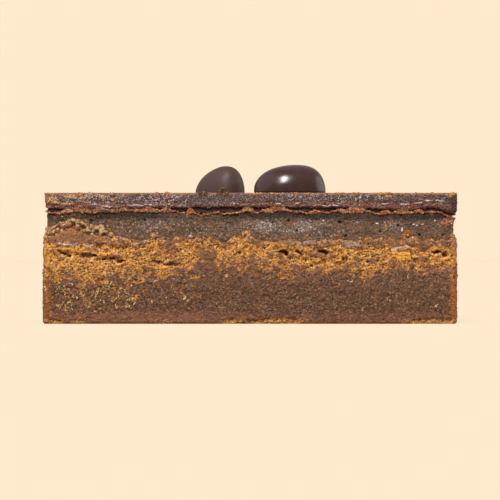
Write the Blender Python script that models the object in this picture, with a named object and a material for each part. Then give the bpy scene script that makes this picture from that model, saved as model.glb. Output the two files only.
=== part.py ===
"""A cut slice of layered blondie with two chocolate-coated beans on top.

From the bottom up it is a dense brown cake layer, a golden crumb layer, a moist fudge layer whose top
is a ragged papery crust, a set chocolate top and the two beans. Each layer runs right through the
slice, and all four sides are cut faces.

Metres, with +Z up. The origin is the middle of the underside, +X points to the right-hand end of the
cut front face, and the front face looks along -Y.
"""

import math
import random
from dataclasses import dataclass

import bmesh
import bpy
from mathutils import Vector, noise

MM = 0.001

# The slice as it was cut.
WIDTH = 76.0 * MM
DEPTH = 54.0 * MM
HEIGHT = 24.0 * MM
CORNER_RADIUS = 1.2 * MM

# Mean heights of the lines where one layer meets the next, and the seam left between them.
CAKE_TOP = 9.7 * MM
CRUMB_TOP = 15.3 * MM
CHOCOLATE_UNDERSIDE = 21.3 * MM
SEAM = 0.3 * MM

# Steps between the points of one course, along each side and round each corner.
FRONT_STEPS = 50
BACK_STEPS = 38
END_STEPS = 26
CORNER_STEPS = 2

# Inside the slice each joint runs level from here inwards, and follows the cut face's line outside.
FACE_STRIP = 2.4 * MM
LEVEL_FROM = 5.5 * MM
INNER_RADIUS = 0.3 * MM

# How far each layer's cut face stands back from the widest outline, at the front and back, the left
# end and the right end.
CRUMB_SETBACK = (0.05 * MM, 0.0 * MM, 0.0 * MM)
FUDGE_SETBACK = (0.35 * MM, 0.75 * MM, 1.15 * MM)
FUDGE_HOLLOW = 0.1 * MM
CRUST_SETBACK = (0.1 * MM, 0.65 * MM, 0.5 * MM)
CHOCOLATE_SETBACK = (0.1 * MM, 0.4 * MM, 0.0 * MM)

# Depth and grain of the crumbly relief on the cut faces, and how hard it breaks up into crumbs.
CAKE_RELIEF = 0.45 * MM
CRUMB_RELIEF = 1.0 * MM
FUDGE_RELIEF = 0.3 * MM
CRUST_RELIEF = 0.9 * MM
CHOCOLATE_RELIEF = 0.3 * MM
CAKE_GRAIN = 1.7 * MM
CRUMB_GRAIN = 1.4 * MM
FUDGE_GRAIN = 3.6 * MM
CRUST_GRAIN = 1.3 * MM
CHOCOLATE_GRAIN = 1.9 * MM
RELIEF_MEAN = 0.38
RELIEF_CONTRAST = 1.1

# A place whose outward direction has a Y below this is on the front face.
FRONT_FACING = -0.9

# Edges that turn by more than this many degrees stay sharp, on the layers and on the beans.
CRAG_ANGLE = 24
BEAN_EDGE_ANGLE = 60

# The softened lower edge of the slice, and the wavy joints above the cake and the crumb layer.
BASE_EDGE = 0.35 * MM
CAKE_EDGE = 0.1 * MM
CAKE_WAVE = 0.55 * MM
CAKE_WAVE_LENGTH = 7.0 * MM
CRUMB_WAVE = 0.3 * MM
CRUMB_WAVE_LENGTH = 3.4 * MM

# The papery crust is a thin lip with a groove beneath it.
CRUST_THICKNESS = 0.6 * MM
CRUST_WAVE = 0.35 * MM
CRUST_WAVE_LENGTH = 1.7 * MM
GROOVE_DROP = 0.45 * MM
GROOVE_DEPTH = 0.55 * MM

# The chocolate bends down over the fudge at the right-hand end.
END_DIP = 1.35 * MM
END_DIP_REACH = 4.5 * MM
CHOCOLATE_WAVE = 0.14 * MM
CHOCOLATE_WAVE_LENGTH = 2.4 * MM
UNDERSIDE_EDGE = 0.15 * MM
TOP_EDGE_DROP = 0.3 * MM
TOP_EDGE_ROUND = 0.45 * MM
TOP_EDGE_SAG = 0.05 * MM
TOP_WAVE = 0.12 * MM
TOP_WAVE_LENGTH = 17.0 * MM
TOP_BEVEL_RING = 1.7 * MM
TOP_WAVE_RING = 6.5 * MM
TOP_LEVEL_RING = 13.0 * MM

HALF_WIDTH = WIDTH / 2
HALF_DEPTH = DEPTH / 2
PERIMETER = 2 * (WIDTH + DEPTH) - 8 * CORNER_RADIUS + 2 * math.pi * CORNER_RADIUS


@dataclass(frozen=True)
class Bump:
    """A rise or a droop of a line round the slice.

    Its middle is a distance along the outline, anticlockwise from the slice's left-hand end at the front.
    """

    middle: float
    half_width: float
    height: float

    def at(self, along):
        """The height of the bump at a distance along the outline."""
        away = abs(along - self.middle)
        away = min(away, PERIMETER - away)
        if away >= self.half_width:
            return 0.0
        return self.height * (0.5 + 0.5 * math.cos(math.pi * away / self.half_width))


@dataclass(frozen=True)
class Pit:
    """A cavity in the front face of the crumb layer, with its half sizes along X and Z."""

    x: float
    z: float
    half_x: float
    half_z: float
    depth: float

    def at(self, x, z):
        """How deep the cavity is at a point of the front face."""
        away = ((x - self.x) / self.half_x) ** 2 + ((z - self.z) / self.half_z) ** 2
        return self.depth * math.exp(-away)


@dataclass(frozen=True)
class Station:
    """One place on the outline: its distance along it, its core point and its outward direction."""

    along: float
    core_x: float
    core_y: float
    out_x: float
    out_y: float

    def point(self, inset):
        """The place this far in from the outline, on a rounded rectangle that shrinks with it."""
        radius = max(CORNER_RADIUS - inset, INNER_RADIUS)
        shrink_x = (HALF_WIDTH - inset - radius) / (HALF_WIDTH - CORNER_RADIUS)
        shrink_y = (HALF_DEPTH - inset - radius) / (HALF_DEPTH - CORNER_RADIUS)
        return (
            self.core_x * shrink_x + self.out_x * radius,
            self.core_y * shrink_y + self.out_y * radius,
        )

    def setback(self, sizes):
        """Blends the three setbacks of a layer by the way this place faces."""
        front, left, right = sizes
        end = right if self.out_x > 0 else left
        return front + (end - front) * abs(self.out_x)


def make_stations():
    """Walks anticlockwise round the outline. Distances count from the slice's left-hand end."""
    core_x = HALF_WIDTH - CORNER_RADIUS
    core_y = HALF_DEPTH - CORNER_RADIUS
    corners = [(-core_x, -core_y), (core_x, -core_y), (core_x, core_y), (-core_x, core_y)]
    side_steps = [FRONT_STEPS, END_STEPS, BACK_STEPS, END_STEPS]
    found = []
    along = CORNER_RADIUS
    for side, steps in enumerate(side_steps):
        start, stop = corners[side], corners[(side + 1) % 4]
        length = math.dist(start, stop)
        facing = math.radians(90 * side - 90)
        for step in range(steps):
            share = step / steps
            x = start[0] + (stop[0] - start[0]) * share
            y = start[1] + (stop[1] - start[1]) * share
            place = along + length * share
            found.append(Station(place, x, y, math.cos(facing), math.sin(facing)))
        along += length
        for step in range(CORNER_STEPS):
            turn = math.radians(90) * step / CORNER_STEPS
            place = along + CORNER_RADIUS * turn
            angle = facing + turn
            found.append(Station(place, *stop, math.cos(angle), math.sin(angle)))
        along += CORNER_RADIUS * math.radians(90)
    return found


STATIONS = make_stations()


def scattered(seed, spacing, half_width, height):
    """Bumps of uneven size along the right, back and left sides, each pair giving a least and a most."""
    draw = random.Random(seed)
    bumps = []
    along = WIDTH + spacing[0]
    while along < PERIMETER - spacing[0]:
        bumps.append(Bump(along, draw.uniform(*half_width), draw.uniform(*height)))
        along += draw.uniform(*spacing)
    return bumps


# Crumbs smeared up over the fudge: a large clump at the front's left end, and one narrow tongue.
CLUMPS = [
    Bump(5.4 * MM, 4.8 * MM, 3.9 * MM),
    Bump(10.3 * MM, 4.4 * MM, 2.8 * MM),
    Bump(14.4 * MM, 3.4 * MM, 0.6 * MM),
    Bump(37.0 * MM, 2.7 * MM, 2.1 * MM),
    *scattered(11, (8 * MM, 17 * MM), (2.4 * MM, 5.2 * MM), (0.3 * MM, 2.8 * MM)),
]

# Places where the crust has sunk away from the chocolate, so that a dark gap shows between them.
DROOPS = [
    Bump(2.2 * MM, 3.2 * MM, 0.45 * MM),
    Bump(29.8 * MM, 9.0 * MM, 0.6 * MM),
    Bump(49.0 * MM, 5.0 * MM, 0.3 * MM),
    Bump(61.8 * MM, 6.0 * MM, 0.5 * MM),
    Bump(69.6 * MM, 3.6 * MM, 0.3 * MM),
    *scattered(23, (9 * MM, 19 * MM), (4.0 * MM, 8.0 * MM), (0.2 * MM, 0.9 * MM)),
]

# Cavities and long crevices that open in the crumb layer's front face.
PITS = [
    Pit(6.2 * MM, 13.1 * MM, 0.9 * MM, 0.6 * MM, 1.0 * MM),
    Pit(9.1 * MM, 13.2 * MM, 0.9 * MM, 0.6 * MM, 1.0 * MM),
    Pit(13.3 * MM, 13.0 * MM, 0.9 * MM, 0.6 * MM, 1.0 * MM),
    Pit(-31.4 * MM, 12.4 * MM, 3.2 * MM, 0.6 * MM, 0.8 * MM),
    Pit(-24.6 * MM, 11.7 * MM, 2.3 * MM, 0.6 * MM, 0.7 * MM),
    Pit(34.6 * MM, 12.9 * MM, 1.4 * MM, 0.5 * MM, 0.8 * MM),
]


def wave(station, length, seed):
    """Smooth noise from -1 to 1 along the outline, the same at its two ends."""
    return noise.noise(Vector((station.core_x / length, station.core_y / length, seed)))


def cake_line(station):
    """Height of the joint between the cake and the crumb layer."""
    return CAKE_TOP + CAKE_WAVE * wave(station, CAKE_WAVE_LENGTH, 1.5)


def crumb_line(station):
    """Height of the joint between the crumb layer and the fudge."""
    rise = sum(bump.at(station.along) for bump in CLUMPS)
    return CRUMB_TOP + rise + CRUMB_WAVE * wave(station, CRUMB_WAVE_LENGTH, 3.5)


def chocolate_line(station):
    """Height of the chocolate's lower edge, which dips at the right-hand end."""
    from_end = HALF_WIDTH - station.point(0.0)[0]
    share = max(0.0, 1 - from_end / END_DIP_REACH)
    dip = END_DIP * share * share * (3 - 2 * share)
    return CHOCOLATE_UNDERSIDE - dip + CHOCOLATE_WAVE * wave(station, CHOCOLATE_WAVE_LENGTH, 9.5)


def crust_line(station):
    """Height of the crust's upper edge, which droops away from the chocolate in places."""
    droop = sum(bump.at(station.along) for bump in DROOPS)
    ragged = CRUST_WAVE * max(0.0, 0.5 + 1.4 * wave(station, CRUST_WAVE_LENGTH, 5.5))
    return chocolate_line(station) - SEAM - droop - ragged


def level(height):
    """A line at one height all round."""
    return lambda station: height


def shifted(line, rise):
    """A line moved up or down."""
    return lambda station: line(station) + rise


def between(low, high, share):
    """A line that lies a share of the way from one line up to another."""
    return lambda station: low(station) * (1 - share) + high(station) * share


def same(inset):
    """The same setback all round."""
    return lambda station: inset


def layer_face(sizes, extra=0.0):
    """The setback of a layer's cut face, with an extra amount for a groove or a rounded edge."""
    return lambda station: station.setback(sizes) + extra


def course(line, inset, depth=0.0, grain=1.0, pits=()):
    """One ring of points round the slice. Relief only goes inwards, so it never widens the slice."""
    ring = []
    for station in STATIONS:
        z = line(station)
        set_in = inset(station)
        x, y = station.point(set_in)
        rough = RELIEF_MEAN + RELIEF_CONTRAST * noise.noise(Vector((x, y, z)) / grain)
        hollow = depth * min(max(rough, 0.0), 1.0)
        if station.out_y < FRONT_FACING:
            hollow += sum(pit.at(x, z) for pit in pits)
        ring.append((*station.point(set_in + hollow), z))
    return ring


def joint_above(line, middle):
    """The two courses that carry a layer's top joint from its cut face to the level inside."""
    return [
        course(shifted(line, -SEAM / 2), same(FACE_STRIP)),
        course(level(middle - SEAM / 2), same(LEVEL_FROM)),
    ]


def joint_below(line, middle):
    """The two courses that carry a layer's lower joint, from the level inside out to its cut face."""
    return [
        course(level(middle + SEAM / 2), same(LEVEL_FROM)),
        course(shifted(line, SEAM / 2), same(FACE_STRIP)),
    ]


def new_material(name, colour, roughness):
    """A Principled finish with one colour, given as red, green and blue from 0 to 1, linear."""
    material = bpy.data.materials.new(name)
    material.use_nodes = True
    shader = material.node_tree.nodes["Principled BSDF"]
    shader.inputs["Base Color"].default_value = (*colour, 1.0)
    shader.inputs["Roughness"].default_value = roughness
    shader.inputs["Metallic"].default_value = 0.0
    return material


def add_object(name, mesh, material, sharp_degrees):
    """Turns a bmesh into a smooth-shaded object that keeps its sharp edges."""
    data = bpy.data.meshes.new(name)
    mesh.to_mesh(data)
    mesh.free()
    data.materials.append(material)
    data.shade_smooth()
    data.set_sharp_from_angle(angle=math.radians(sharp_degrees))
    piece = bpy.data.objects.new(name, data)
    bpy.context.scene.collection.objects.link(piece)
    return piece


def loft(name, courses, lower_courses, material):
    """Joins courses, lowest first, into one closed layer with a flat cap at each end.

    The strips of the lower joint are split along the other diagonal. They then run parallel to the top
    of the layer beneath, and the seam stays even.
    """
    mesh = bmesh.new()
    rings = [[mesh.verts.new(point) for point in ring] for ring in courses]
    count = len(STATIONS)
    for index, (low, high) in enumerate(zip(rings, rings[1:])):
        for near in range(count):
            far = (near + 1) % count
            if index < lower_courses:
                mesh.faces.new((low[near], low[far], high[near]))
                mesh.faces.new((low[far], high[far], high[near]))
            else:
                mesh.faces.new((low[near], low[far], high[far]))
                mesh.faces.new((low[near], high[far], high[near]))
    mesh.faces.new(reversed(rings[0]))
    mesh.faces.new(rings[-1])
    return add_object(name, mesh, material, CRAG_ANGLE)


def cake_layer():
    """The dense brown cake, which carries the rest and stands flat on its underside."""
    floor = level(0.0)
    top = shifted(cake_line, -SEAM / 2)
    courses = [
        course(floor, same(BASE_EDGE)),
        course(between(floor, top, 0.05), same(0.0)),
    ]
    for share in (0.27, 0.5, 0.7, 0.87):
        courses.append(course(between(floor, top, share), same(0.0), CAKE_RELIEF, CAKE_GRAIN))
    courses.append(course(top, same(CAKE_EDGE), CAKE_RELIEF, CAKE_GRAIN))
    courses += joint_above(cake_line, CAKE_TOP)
    return loft("cake_base", courses, 0, new_material("brown_cake", (0.17, 0.078, 0.042), 0.8))


def crumb_layer():
    """The golden crumb layer, rough and pitted, with clumps that climb over the fudge."""
    floor = shifted(cake_line, SEAM / 2)
    top = shifted(crumb_line, -SEAM / 2)
    face = layer_face(CRUMB_SETBACK)
    courses = joint_below(cake_line, CAKE_TOP)
    courses.append(course(floor, face, CRUMB_RELIEF / 2, CRUMB_GRAIN))
    for share in (0.2, 0.42, 0.64, 0.86):
        ring = course(between(floor, top, share), face, CRUMB_RELIEF, CRUMB_GRAIN, PITS)
        courses.append(ring)
    courses.append(course(top, face, CRUMB_RELIEF, CRUMB_GRAIN))
    courses += joint_above(crumb_line, CRUMB_TOP)
    return loft("crumb_layer", courses, 2, new_material("golden_crumb", (0.38, 0.165, 0.055), 0.85))


def fudge_layer():
    """The fudge, set back between the layers, under a lip of papery crust with a groove beneath it."""
    floor = shifted(crumb_line, SEAM / 2)
    crust_foot = shifted(crust_line, -CRUST_THICKNESS)
    groove = shifted(crust_line, -CRUST_THICKNESS - GROOVE_DROP)
    face = layer_face(FUDGE_SETBACK)
    hollow_face = layer_face(FUDGE_SETBACK, FUDGE_HOLLOW)
    lip = layer_face(CRUST_SETBACK)
    courses = joint_below(crumb_line, CRUMB_TOP)
    courses += [
        course(floor, face, FUDGE_RELIEF, FUDGE_GRAIN),
        course(between(floor, groove, 0.5), hollow_face, FUDGE_RELIEF, FUDGE_GRAIN),
        course(groove, layer_face(CRUST_SETBACK, GROOVE_DEPTH), FUDGE_RELIEF, FUDGE_GRAIN),
        course(crust_foot, lip, CRUST_RELIEF, CRUST_GRAIN),
        course(crust_line, lip, CRUST_RELIEF, CRUST_GRAIN),
    ]
    courses += joint_above(shifted(chocolate_line, -SEAM / 2), CHOCOLATE_UNDERSIDE - SEAM / 2)
    return loft("fudge_layer", courses, 2, new_material("moist_fudge", (0.175, 0.09, 0.055), 0.35))


def chocolate_layer():
    """The set chocolate: a rough cut face, a rounded upper edge and a gently uneven top."""
    floor = chocolate_line
    brim = level(HEIGHT - TOP_EDGE_DROP)
    face = layer_face(CHOCOLATE_SETBACK)
    underside = layer_face(CHOCOLATE_SETBACK, UNDERSIDE_EDGE)
    rounded = layer_face(CHOCOLATE_SETBACK, TOP_EDGE_ROUND)

    def poured(station):
        return HEIGHT - TOP_WAVE * (1 + wave(station, TOP_WAVE_LENGTH, 7.5)) / 2

    courses = [
        course(level(CHOCOLATE_UNDERSIDE), same(LEVEL_FROM)),
        course(floor, same(FACE_STRIP)),
        course(floor, underside, CHOCOLATE_RELIEF, CHOCOLATE_GRAIN),
        course(between(floor, brim, 0.3), face, CHOCOLATE_RELIEF, CHOCOLATE_GRAIN),
        course(between(floor, brim, 0.65), face, CHOCOLATE_RELIEF, CHOCOLATE_GRAIN),
        course(brim, face, CHOCOLATE_RELIEF / 2, CHOCOLATE_GRAIN),
        course(shifted(poured, -TOP_EDGE_SAG), rounded),
        course(poured, same(TOP_BEVEL_RING)),
        course(poured, same(TOP_WAVE_RING)),
        course(level(HEIGHT - TOP_WAVE / 2), same(TOP_LEVEL_RING)),
    ]
    return loft("chocolate_top", courses, 2, new_material("dark_chocolate", (0.13, 0.075, 0.06), 0.45))


@dataclass(frozen=True)
class Bean:
    """A coated bean: an egg-shaped drop with a blunt end, a slimmer nose and a flat underside."""

    name: str
    x: float
    y: float
    turn_degrees: float
    blunt_reach: float
    nose_reach: float
    half_breadth: float
    rise: float
    waist: float
    blunt_power: float
    nose_power: float
    nose_slope: float

    # Depth of the rounding below the widest level, or waist.
    BELOW = 2.4 * MM
    AROUND = 24
    LENGTHWISE = 15
    TINY = 1e-7

    def shape(self, unit):
        """Moves one point of a unit sphere onto the bean, whose nose points along its own -X."""
        nose = unit.x < 0
        power = self.nose_power if nose else self.blunt_power
        slope = self.nose_slope if nose else 2.0
        reach = self.nose_reach if nose else self.blunt_reach
        girth = math.sqrt(max(1 - unit.x**2, self.TINY))
        swell = max(1 - abs(unit.x) ** power, 0.0) ** (1 / slope) / girth
        tall = self.rise - self.waist if unit.z > 0 else self.BELOW
        broad = self.half_breadth * (1 + swell) / 2
        return Vector((unit.x * reach, unit.y * broad, unit.z * tall * swell))

    def build(self, material):
        """Shapes the sphere, cuts it flat beneath and stands it just clear of the chocolate."""
        mesh = bmesh.new()
        bmesh.ops.create_uvsphere(mesh, u_segments=self.AROUND, v_segments=self.LENGTHWISE, radius=1.0)
        for vertex in mesh.verts:
            along_x = Vector((vertex.co.z, vertex.co.x, vertex.co.y))
            vertex.co = self.shape(along_x) + Vector((0.0, 0.0, self.waist))
        everything = mesh.verts[:] + mesh.edges[:] + mesh.faces[:]
        bmesh.ops.bisect_plane(
            mesh, geom=everything, plane_co=(0, 0, 0), plane_no=(0, 0, 1), dist=self.TINY, clear_inner=True
        )
        rim = [edge for edge in mesh.edges if edge.is_boundary]
        bmesh.ops.holes_fill(mesh, edges=rim)
        bmesh.ops.recalc_face_normals(mesh, faces=mesh.faces[:])
        piece = add_object(self.name, mesh, material, BEAN_EDGE_ANGLE)
        piece.location = (self.x, self.y, HEIGHT + SEAM)
        piece.rotation_euler = (0.0, 0.0, math.radians(self.turn_degrees))
        return piece


BEANS = [
    Bean(
        name="bean_left",
        x=-4.85 * MM,
        y=3.0 * MM,
        turn_degrees=-43.0,
        blunt_reach=3.9 * MM,
        nose_reach=7.25 * MM,
        half_breadth=3.5 * MM,
        rise=5.3 * MM,
        waist=0.45 * MM,
        blunt_power=2.9,
        nose_power=1.65,
        nose_slope=1.6,
    ),
    Bean(
        name="bean_right",
        x=9.0 * MM,
        y=-3.0 * MM,
        turn_degrees=9.0,
        blunt_reach=5.4 * MM,
        nose_reach=8.3 * MM,
        half_breadth=4.5 * MM,
        rise=5.4 * MM,
        waist=0.6 * MM,
        blunt_power=2.6,
        nose_power=2.3,
        nose_slope=2.1,
    ),
]


def main():
    """Clears the scene, then builds the layers from the bottom up and sets the beans on them."""
    for leftover in list(bpy.data.objects):
        bpy.data.objects.remove(leftover, do_unlink=True)
    cake_layer()
    crumb_layer()
    fudge_layer()
    chocolate_layer()
    for bean in BEANS:
        bean.build(new_material(bean.name + "_coating", (0.085, 0.05, 0.042), 0.25))


main()
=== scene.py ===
"""The looks of a cut slice of layered blondie with two chocolate-coated beans.

Every layer is modelled again over its plain solid as a dense skin with crumbs, pits, ledges and flakes,
and carries masks that its finish turns into colour. Lengths are in metres.
"""

import logging
import math
import random
from collections.abc import Callable, Sequence
from dataclasses import dataclass, replace
from enum import Enum

import bmesh
import bpy
import numpy as np
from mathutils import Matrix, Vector, noise


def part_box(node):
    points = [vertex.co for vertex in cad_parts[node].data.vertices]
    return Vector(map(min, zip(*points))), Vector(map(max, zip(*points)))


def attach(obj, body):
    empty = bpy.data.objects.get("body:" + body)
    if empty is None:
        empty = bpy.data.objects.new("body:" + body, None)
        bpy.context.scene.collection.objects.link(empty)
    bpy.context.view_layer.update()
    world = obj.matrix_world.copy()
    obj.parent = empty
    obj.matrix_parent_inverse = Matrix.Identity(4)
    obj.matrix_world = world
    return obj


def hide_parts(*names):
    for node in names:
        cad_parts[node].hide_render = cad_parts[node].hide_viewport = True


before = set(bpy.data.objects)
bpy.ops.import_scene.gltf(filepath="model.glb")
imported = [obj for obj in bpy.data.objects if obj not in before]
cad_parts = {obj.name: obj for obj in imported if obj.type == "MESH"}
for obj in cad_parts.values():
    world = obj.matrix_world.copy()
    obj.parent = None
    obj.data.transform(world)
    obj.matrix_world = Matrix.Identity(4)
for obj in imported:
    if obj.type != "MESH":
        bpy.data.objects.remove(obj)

LOG = logging.getLogger("blondie")
MM = 0.001
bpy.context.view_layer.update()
Array = np.ndarray
Pair = tuple[float, float]  # the least and the most of something, or two numbers that go together
UP = np.array([0.0, 0.0, 1.0])

# How far the relief of a layer's cut face runs in along its joint, from how far in the joint is flat, and
# how many points of the cut face share one point there.
JOINT_STRIP = 2.4 * MM
JOINT_REACH = 5.5 * MM
THINNING = 8


# ---------------- noise


class Noise:
    """Repeatable noise in space, worked out for many points at once."""

    TABLE = 256
    GAIN = 1.6

    def __init__(self, seed: int) -> None:
        """Draws the lookup tables.

        Args:
            seed: Any whole number. The same number gives the same noise.
        """
        draw = np.random.default_rng(seed)
        self.order = draw.permutation(self.TABLE)
        direction = draw.normal(size=(self.TABLE, 3))
        self.slopes = direction / np.linalg.norm(direction, axis=1, keepdims=True)
        self.places = draw.random((self.TABLE, 3))
        self.values = draw.random(self.TABLE)

    def _entry(self, cell: Array) -> Array:
        """Gives the table entry of each whole-numbered cell.

        Args:
            cell: Whole numbers, three for each point.

        Returns:
            One table index for each point.
        """
        mask = self.TABLE - 1
        first = self.order[cell[..., 0] & mask]
        second = self.order[(first + cell[..., 1]) & mask]
        return self.order[(second + cell[..., 2]) & mask]

    def smooth(self, points: Array, size: float) -> Array:
        """Soft rolling noise.

        Args:
            points: Places in metres, three numbers each.
            size: The distance between one swell and the next.

        Returns:
            A value from about -1 to 1 for each point.
        """
        spot = points / size
        base = np.floor(spot).astype(int)
        part = spot - base
        ease = part * part * part * (part * (part * 6 - 15) + 10)
        total = np.zeros(points.shape[:-1])
        for corner in np.ndindex(2, 2, 2):
            slope = self.slopes[self._entry(base + corner)]
            height = ((part - corner) * slope).sum(-1)
            weight = np.where(np.array(corner) == 1, ease, 1 - ease).prod(-1)
            total += weight * height
        return total * self.GAIN

    def rough(self, points: Array, size: float, octaves: int = 3) -> Array:
        """Rolling noise, from about -1 to 1, whose detail halves in size and height with each octave."""
        parts = [self.smooth(points + size * step, size / 2**step) / 2**step for step in range(octaves)]
        return sum(parts) / (2 - 2.0 ** (1 - octaves))

    def grains(self, points: Array, size: float) -> tuple[Array, Array, Array]:
        """Splits space into uneven grains.

        Args:
            points: Places in metres.
            size: The usual width of a grain.

        Returns:
            The distance to the grain's middle and to its wall, both in grain widths, and one random value
            from 0 to 1 for each grain.
        """
        spot = points / size
        base = np.floor(spot).astype(int)
        near = np.full(points.shape[:-1], 9.0)
        after = near.copy()
        value = np.zeros(points.shape[:-1])
        for offset in np.ndindex(3, 3, 3):
            cell = base + np.array(offset) - 1
            entry = self._entry(cell)
            away = np.linalg.norm(spot - cell - self.places[entry], axis=-1)
            closer = away < near
            after = np.where(closer, near, np.minimum(after, away))
            value = np.where(closer, self.values[entry], value)
            near = np.where(closer, away, near)
        return near, after - near, value


def ramp(value: Array, low: float, high: float) -> Array:
    """Eases from 0 to 1 as a value goes from low to high, whichever of the two is the smaller."""
    share = np.clip((value - low) / (high - low), 0.0, 1.0)
    return share * share * (3 - 2 * share)


def dome(middle: Array, reach: float = 0.75) -> Array:
    """Rounds grains: 1 at their middle, falling to 0 at a reach that counts in grain widths."""
    return np.clip(1 - (middle / reach) ** 2, 0, 1)


# ---------------- the slice's outline and joints


@dataclass(frozen=True)
class Swell:
    """A rise of a line or a mask, placed by its distance along the outline."""

    middle: float
    half_width: float
    height: float

    def at(self, along: Array, perimeter: float) -> Array:
        """Gives the swell's height.

        Args:
            along: Distances along the outline, anticlockwise from the front left.
            perimeter: The whole way round.

        Returns:
            The height at each distance.
        """
        away = np.abs(along - self.middle)
        away = np.minimum(away, perimeter - away)
        inside = 0.5 + 0.5 * np.cos(np.pi * np.minimum(away / self.half_width, 1.0))
        return self.height * inside


Swells = tuple[Swell, ...]


def swells(*rows: tuple[float, float, float], unit: float = MM) -> Swells:
    """Makes swells from rows of millimetres: middle, half width, and height, whose unit is 1 for a mask."""
    return tuple(Swell(middle * MM, half_width * MM, height * unit) for middle, half_width, height in rows)


class Outline:
    """The rounded rectangle of the slice seen from above, as a ring of many places."""

    INNER_RADIUS = 0.3 * MM

    def __init__(
        self, half_width: float, half_depth: float, corner_radius: float, steps: tuple[int, ...]
    ) -> None:
        """Walks anticlockwise round the outline. Distances count from the slice's left-hand end.

        Args:
            half_width: Half the slice's length.
            half_depth: Half its depth.
            corner_radius: The rounding of its upright edges.
            steps: Places along the front, right, back and left sides, and round one corner.
        """
        self.half_width, self.half_depth, self.corner_radius = half_width, half_depth, corner_radius
        core = np.array([half_width, half_depth]) - corner_radius
        corners = core * np.array([(-1, -1), (1, -1), (1, 1), (-1, 1)])
        along, places, turns = [], [], []
        walked = corner_radius
        for side, count in enumerate(steps[:4]):
            start, stop = corners[side], corners[(side + 1) % 4]
            length = float(np.linalg.norm(stop - start))
            share = np.arange(count) / count
            along.append(walked + share * length)
            places.append(start + share[:, None] * (stop - start))
            facing = math.radians(90 * side - 90)
            turns.append(np.full(count, facing))
            walked += length
            turn = np.arange(steps[4]) / steps[4] * math.pi / 2
            along.append(walked + turn * corner_radius)
            places.append(np.repeat(stop[None], steps[4], axis=0))
            turns.append(facing + turn)
            walked += corner_radius * math.pi / 2
        self.along = np.concatenate(along)
        self.core = np.concatenate(places)
        angle = np.concatenate(turns)
        self.out = np.stack([np.cos(angle), np.sin(angle)], axis=1)
        self.perimeter = walked - corner_radius
        self.count = len(self.along)
        self.front = self.out[:, 1] < -0.9

    def ring(self, inset: Array | float, height: Array | float) -> Array:
        """Places rows of points round the slice.

        Args:
            inset: How far in from the outline: one number, a row of them or more rows.
            height: The height of each point, given likewise.

        Returns:
            Points with a last axis of three numbers.
        """
        radius = np.maximum(self.corner_radius - inset, self.INNER_RADIUS)
        shrink_x = (self.half_width - inset - radius) / (self.half_width - self.corner_radius)
        shrink_y = (self.half_depth - inset - radius) / (self.half_depth - self.corner_radius)
        x = self.core[:, 0] * shrink_x + self.out[:, 0] * radius
        y = self.core[:, 1] * shrink_y + self.out[:, 1] * radius
        return np.stack(np.broadcast_arrays(x, y, height), axis=-1)

    def wave(self, length: float, seed: float) -> Array:
        """Smooth noise along the outline, the same noise that shapes the solids' joints."""
        return np.array([noise.noise(Vector((x / length, y / length, seed))) for x, y in self.core])

    def total(self, rises: Sequence[Swell]) -> Array:
        """Adds up swells at every place of the outline."""
        return sum(swell.at(self.along, self.perimeter) for swell in rises)

    def blend(self, front: float, left: float, right: float) -> Array:
        """Blends a front and back value with one for each end, by the way a place faces."""
        end = np.where(self.out[:, 0] > 0, right, left)
        return front + (end - front) * np.abs(self.out[:, 0])


def scattered(
    width: float, perimeter: float, seed: int, spacing: Pair, half_width: Pair, height: Pair
) -> list[Swell]:
    """Swells of uneven size along the right, back and left sides.

    Args:
        width: The slice's length, where the right side starts.
        perimeter: The whole way round.
        seed: The seed of the draw.
        spacing: Least and most distance between two.
        half_width: Least and most half width.
        height: Least and most height.

    Returns:
        The swells, in order along the outline.
    """
    draw = random.Random(seed)
    found = []
    along = width + spacing[0]
    while along < perimeter - spacing[0]:
        found.append(Swell(along, draw.uniform(*half_width), draw.uniform(*height)))
        along += draw.uniform(*spacing)
    return found


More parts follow.
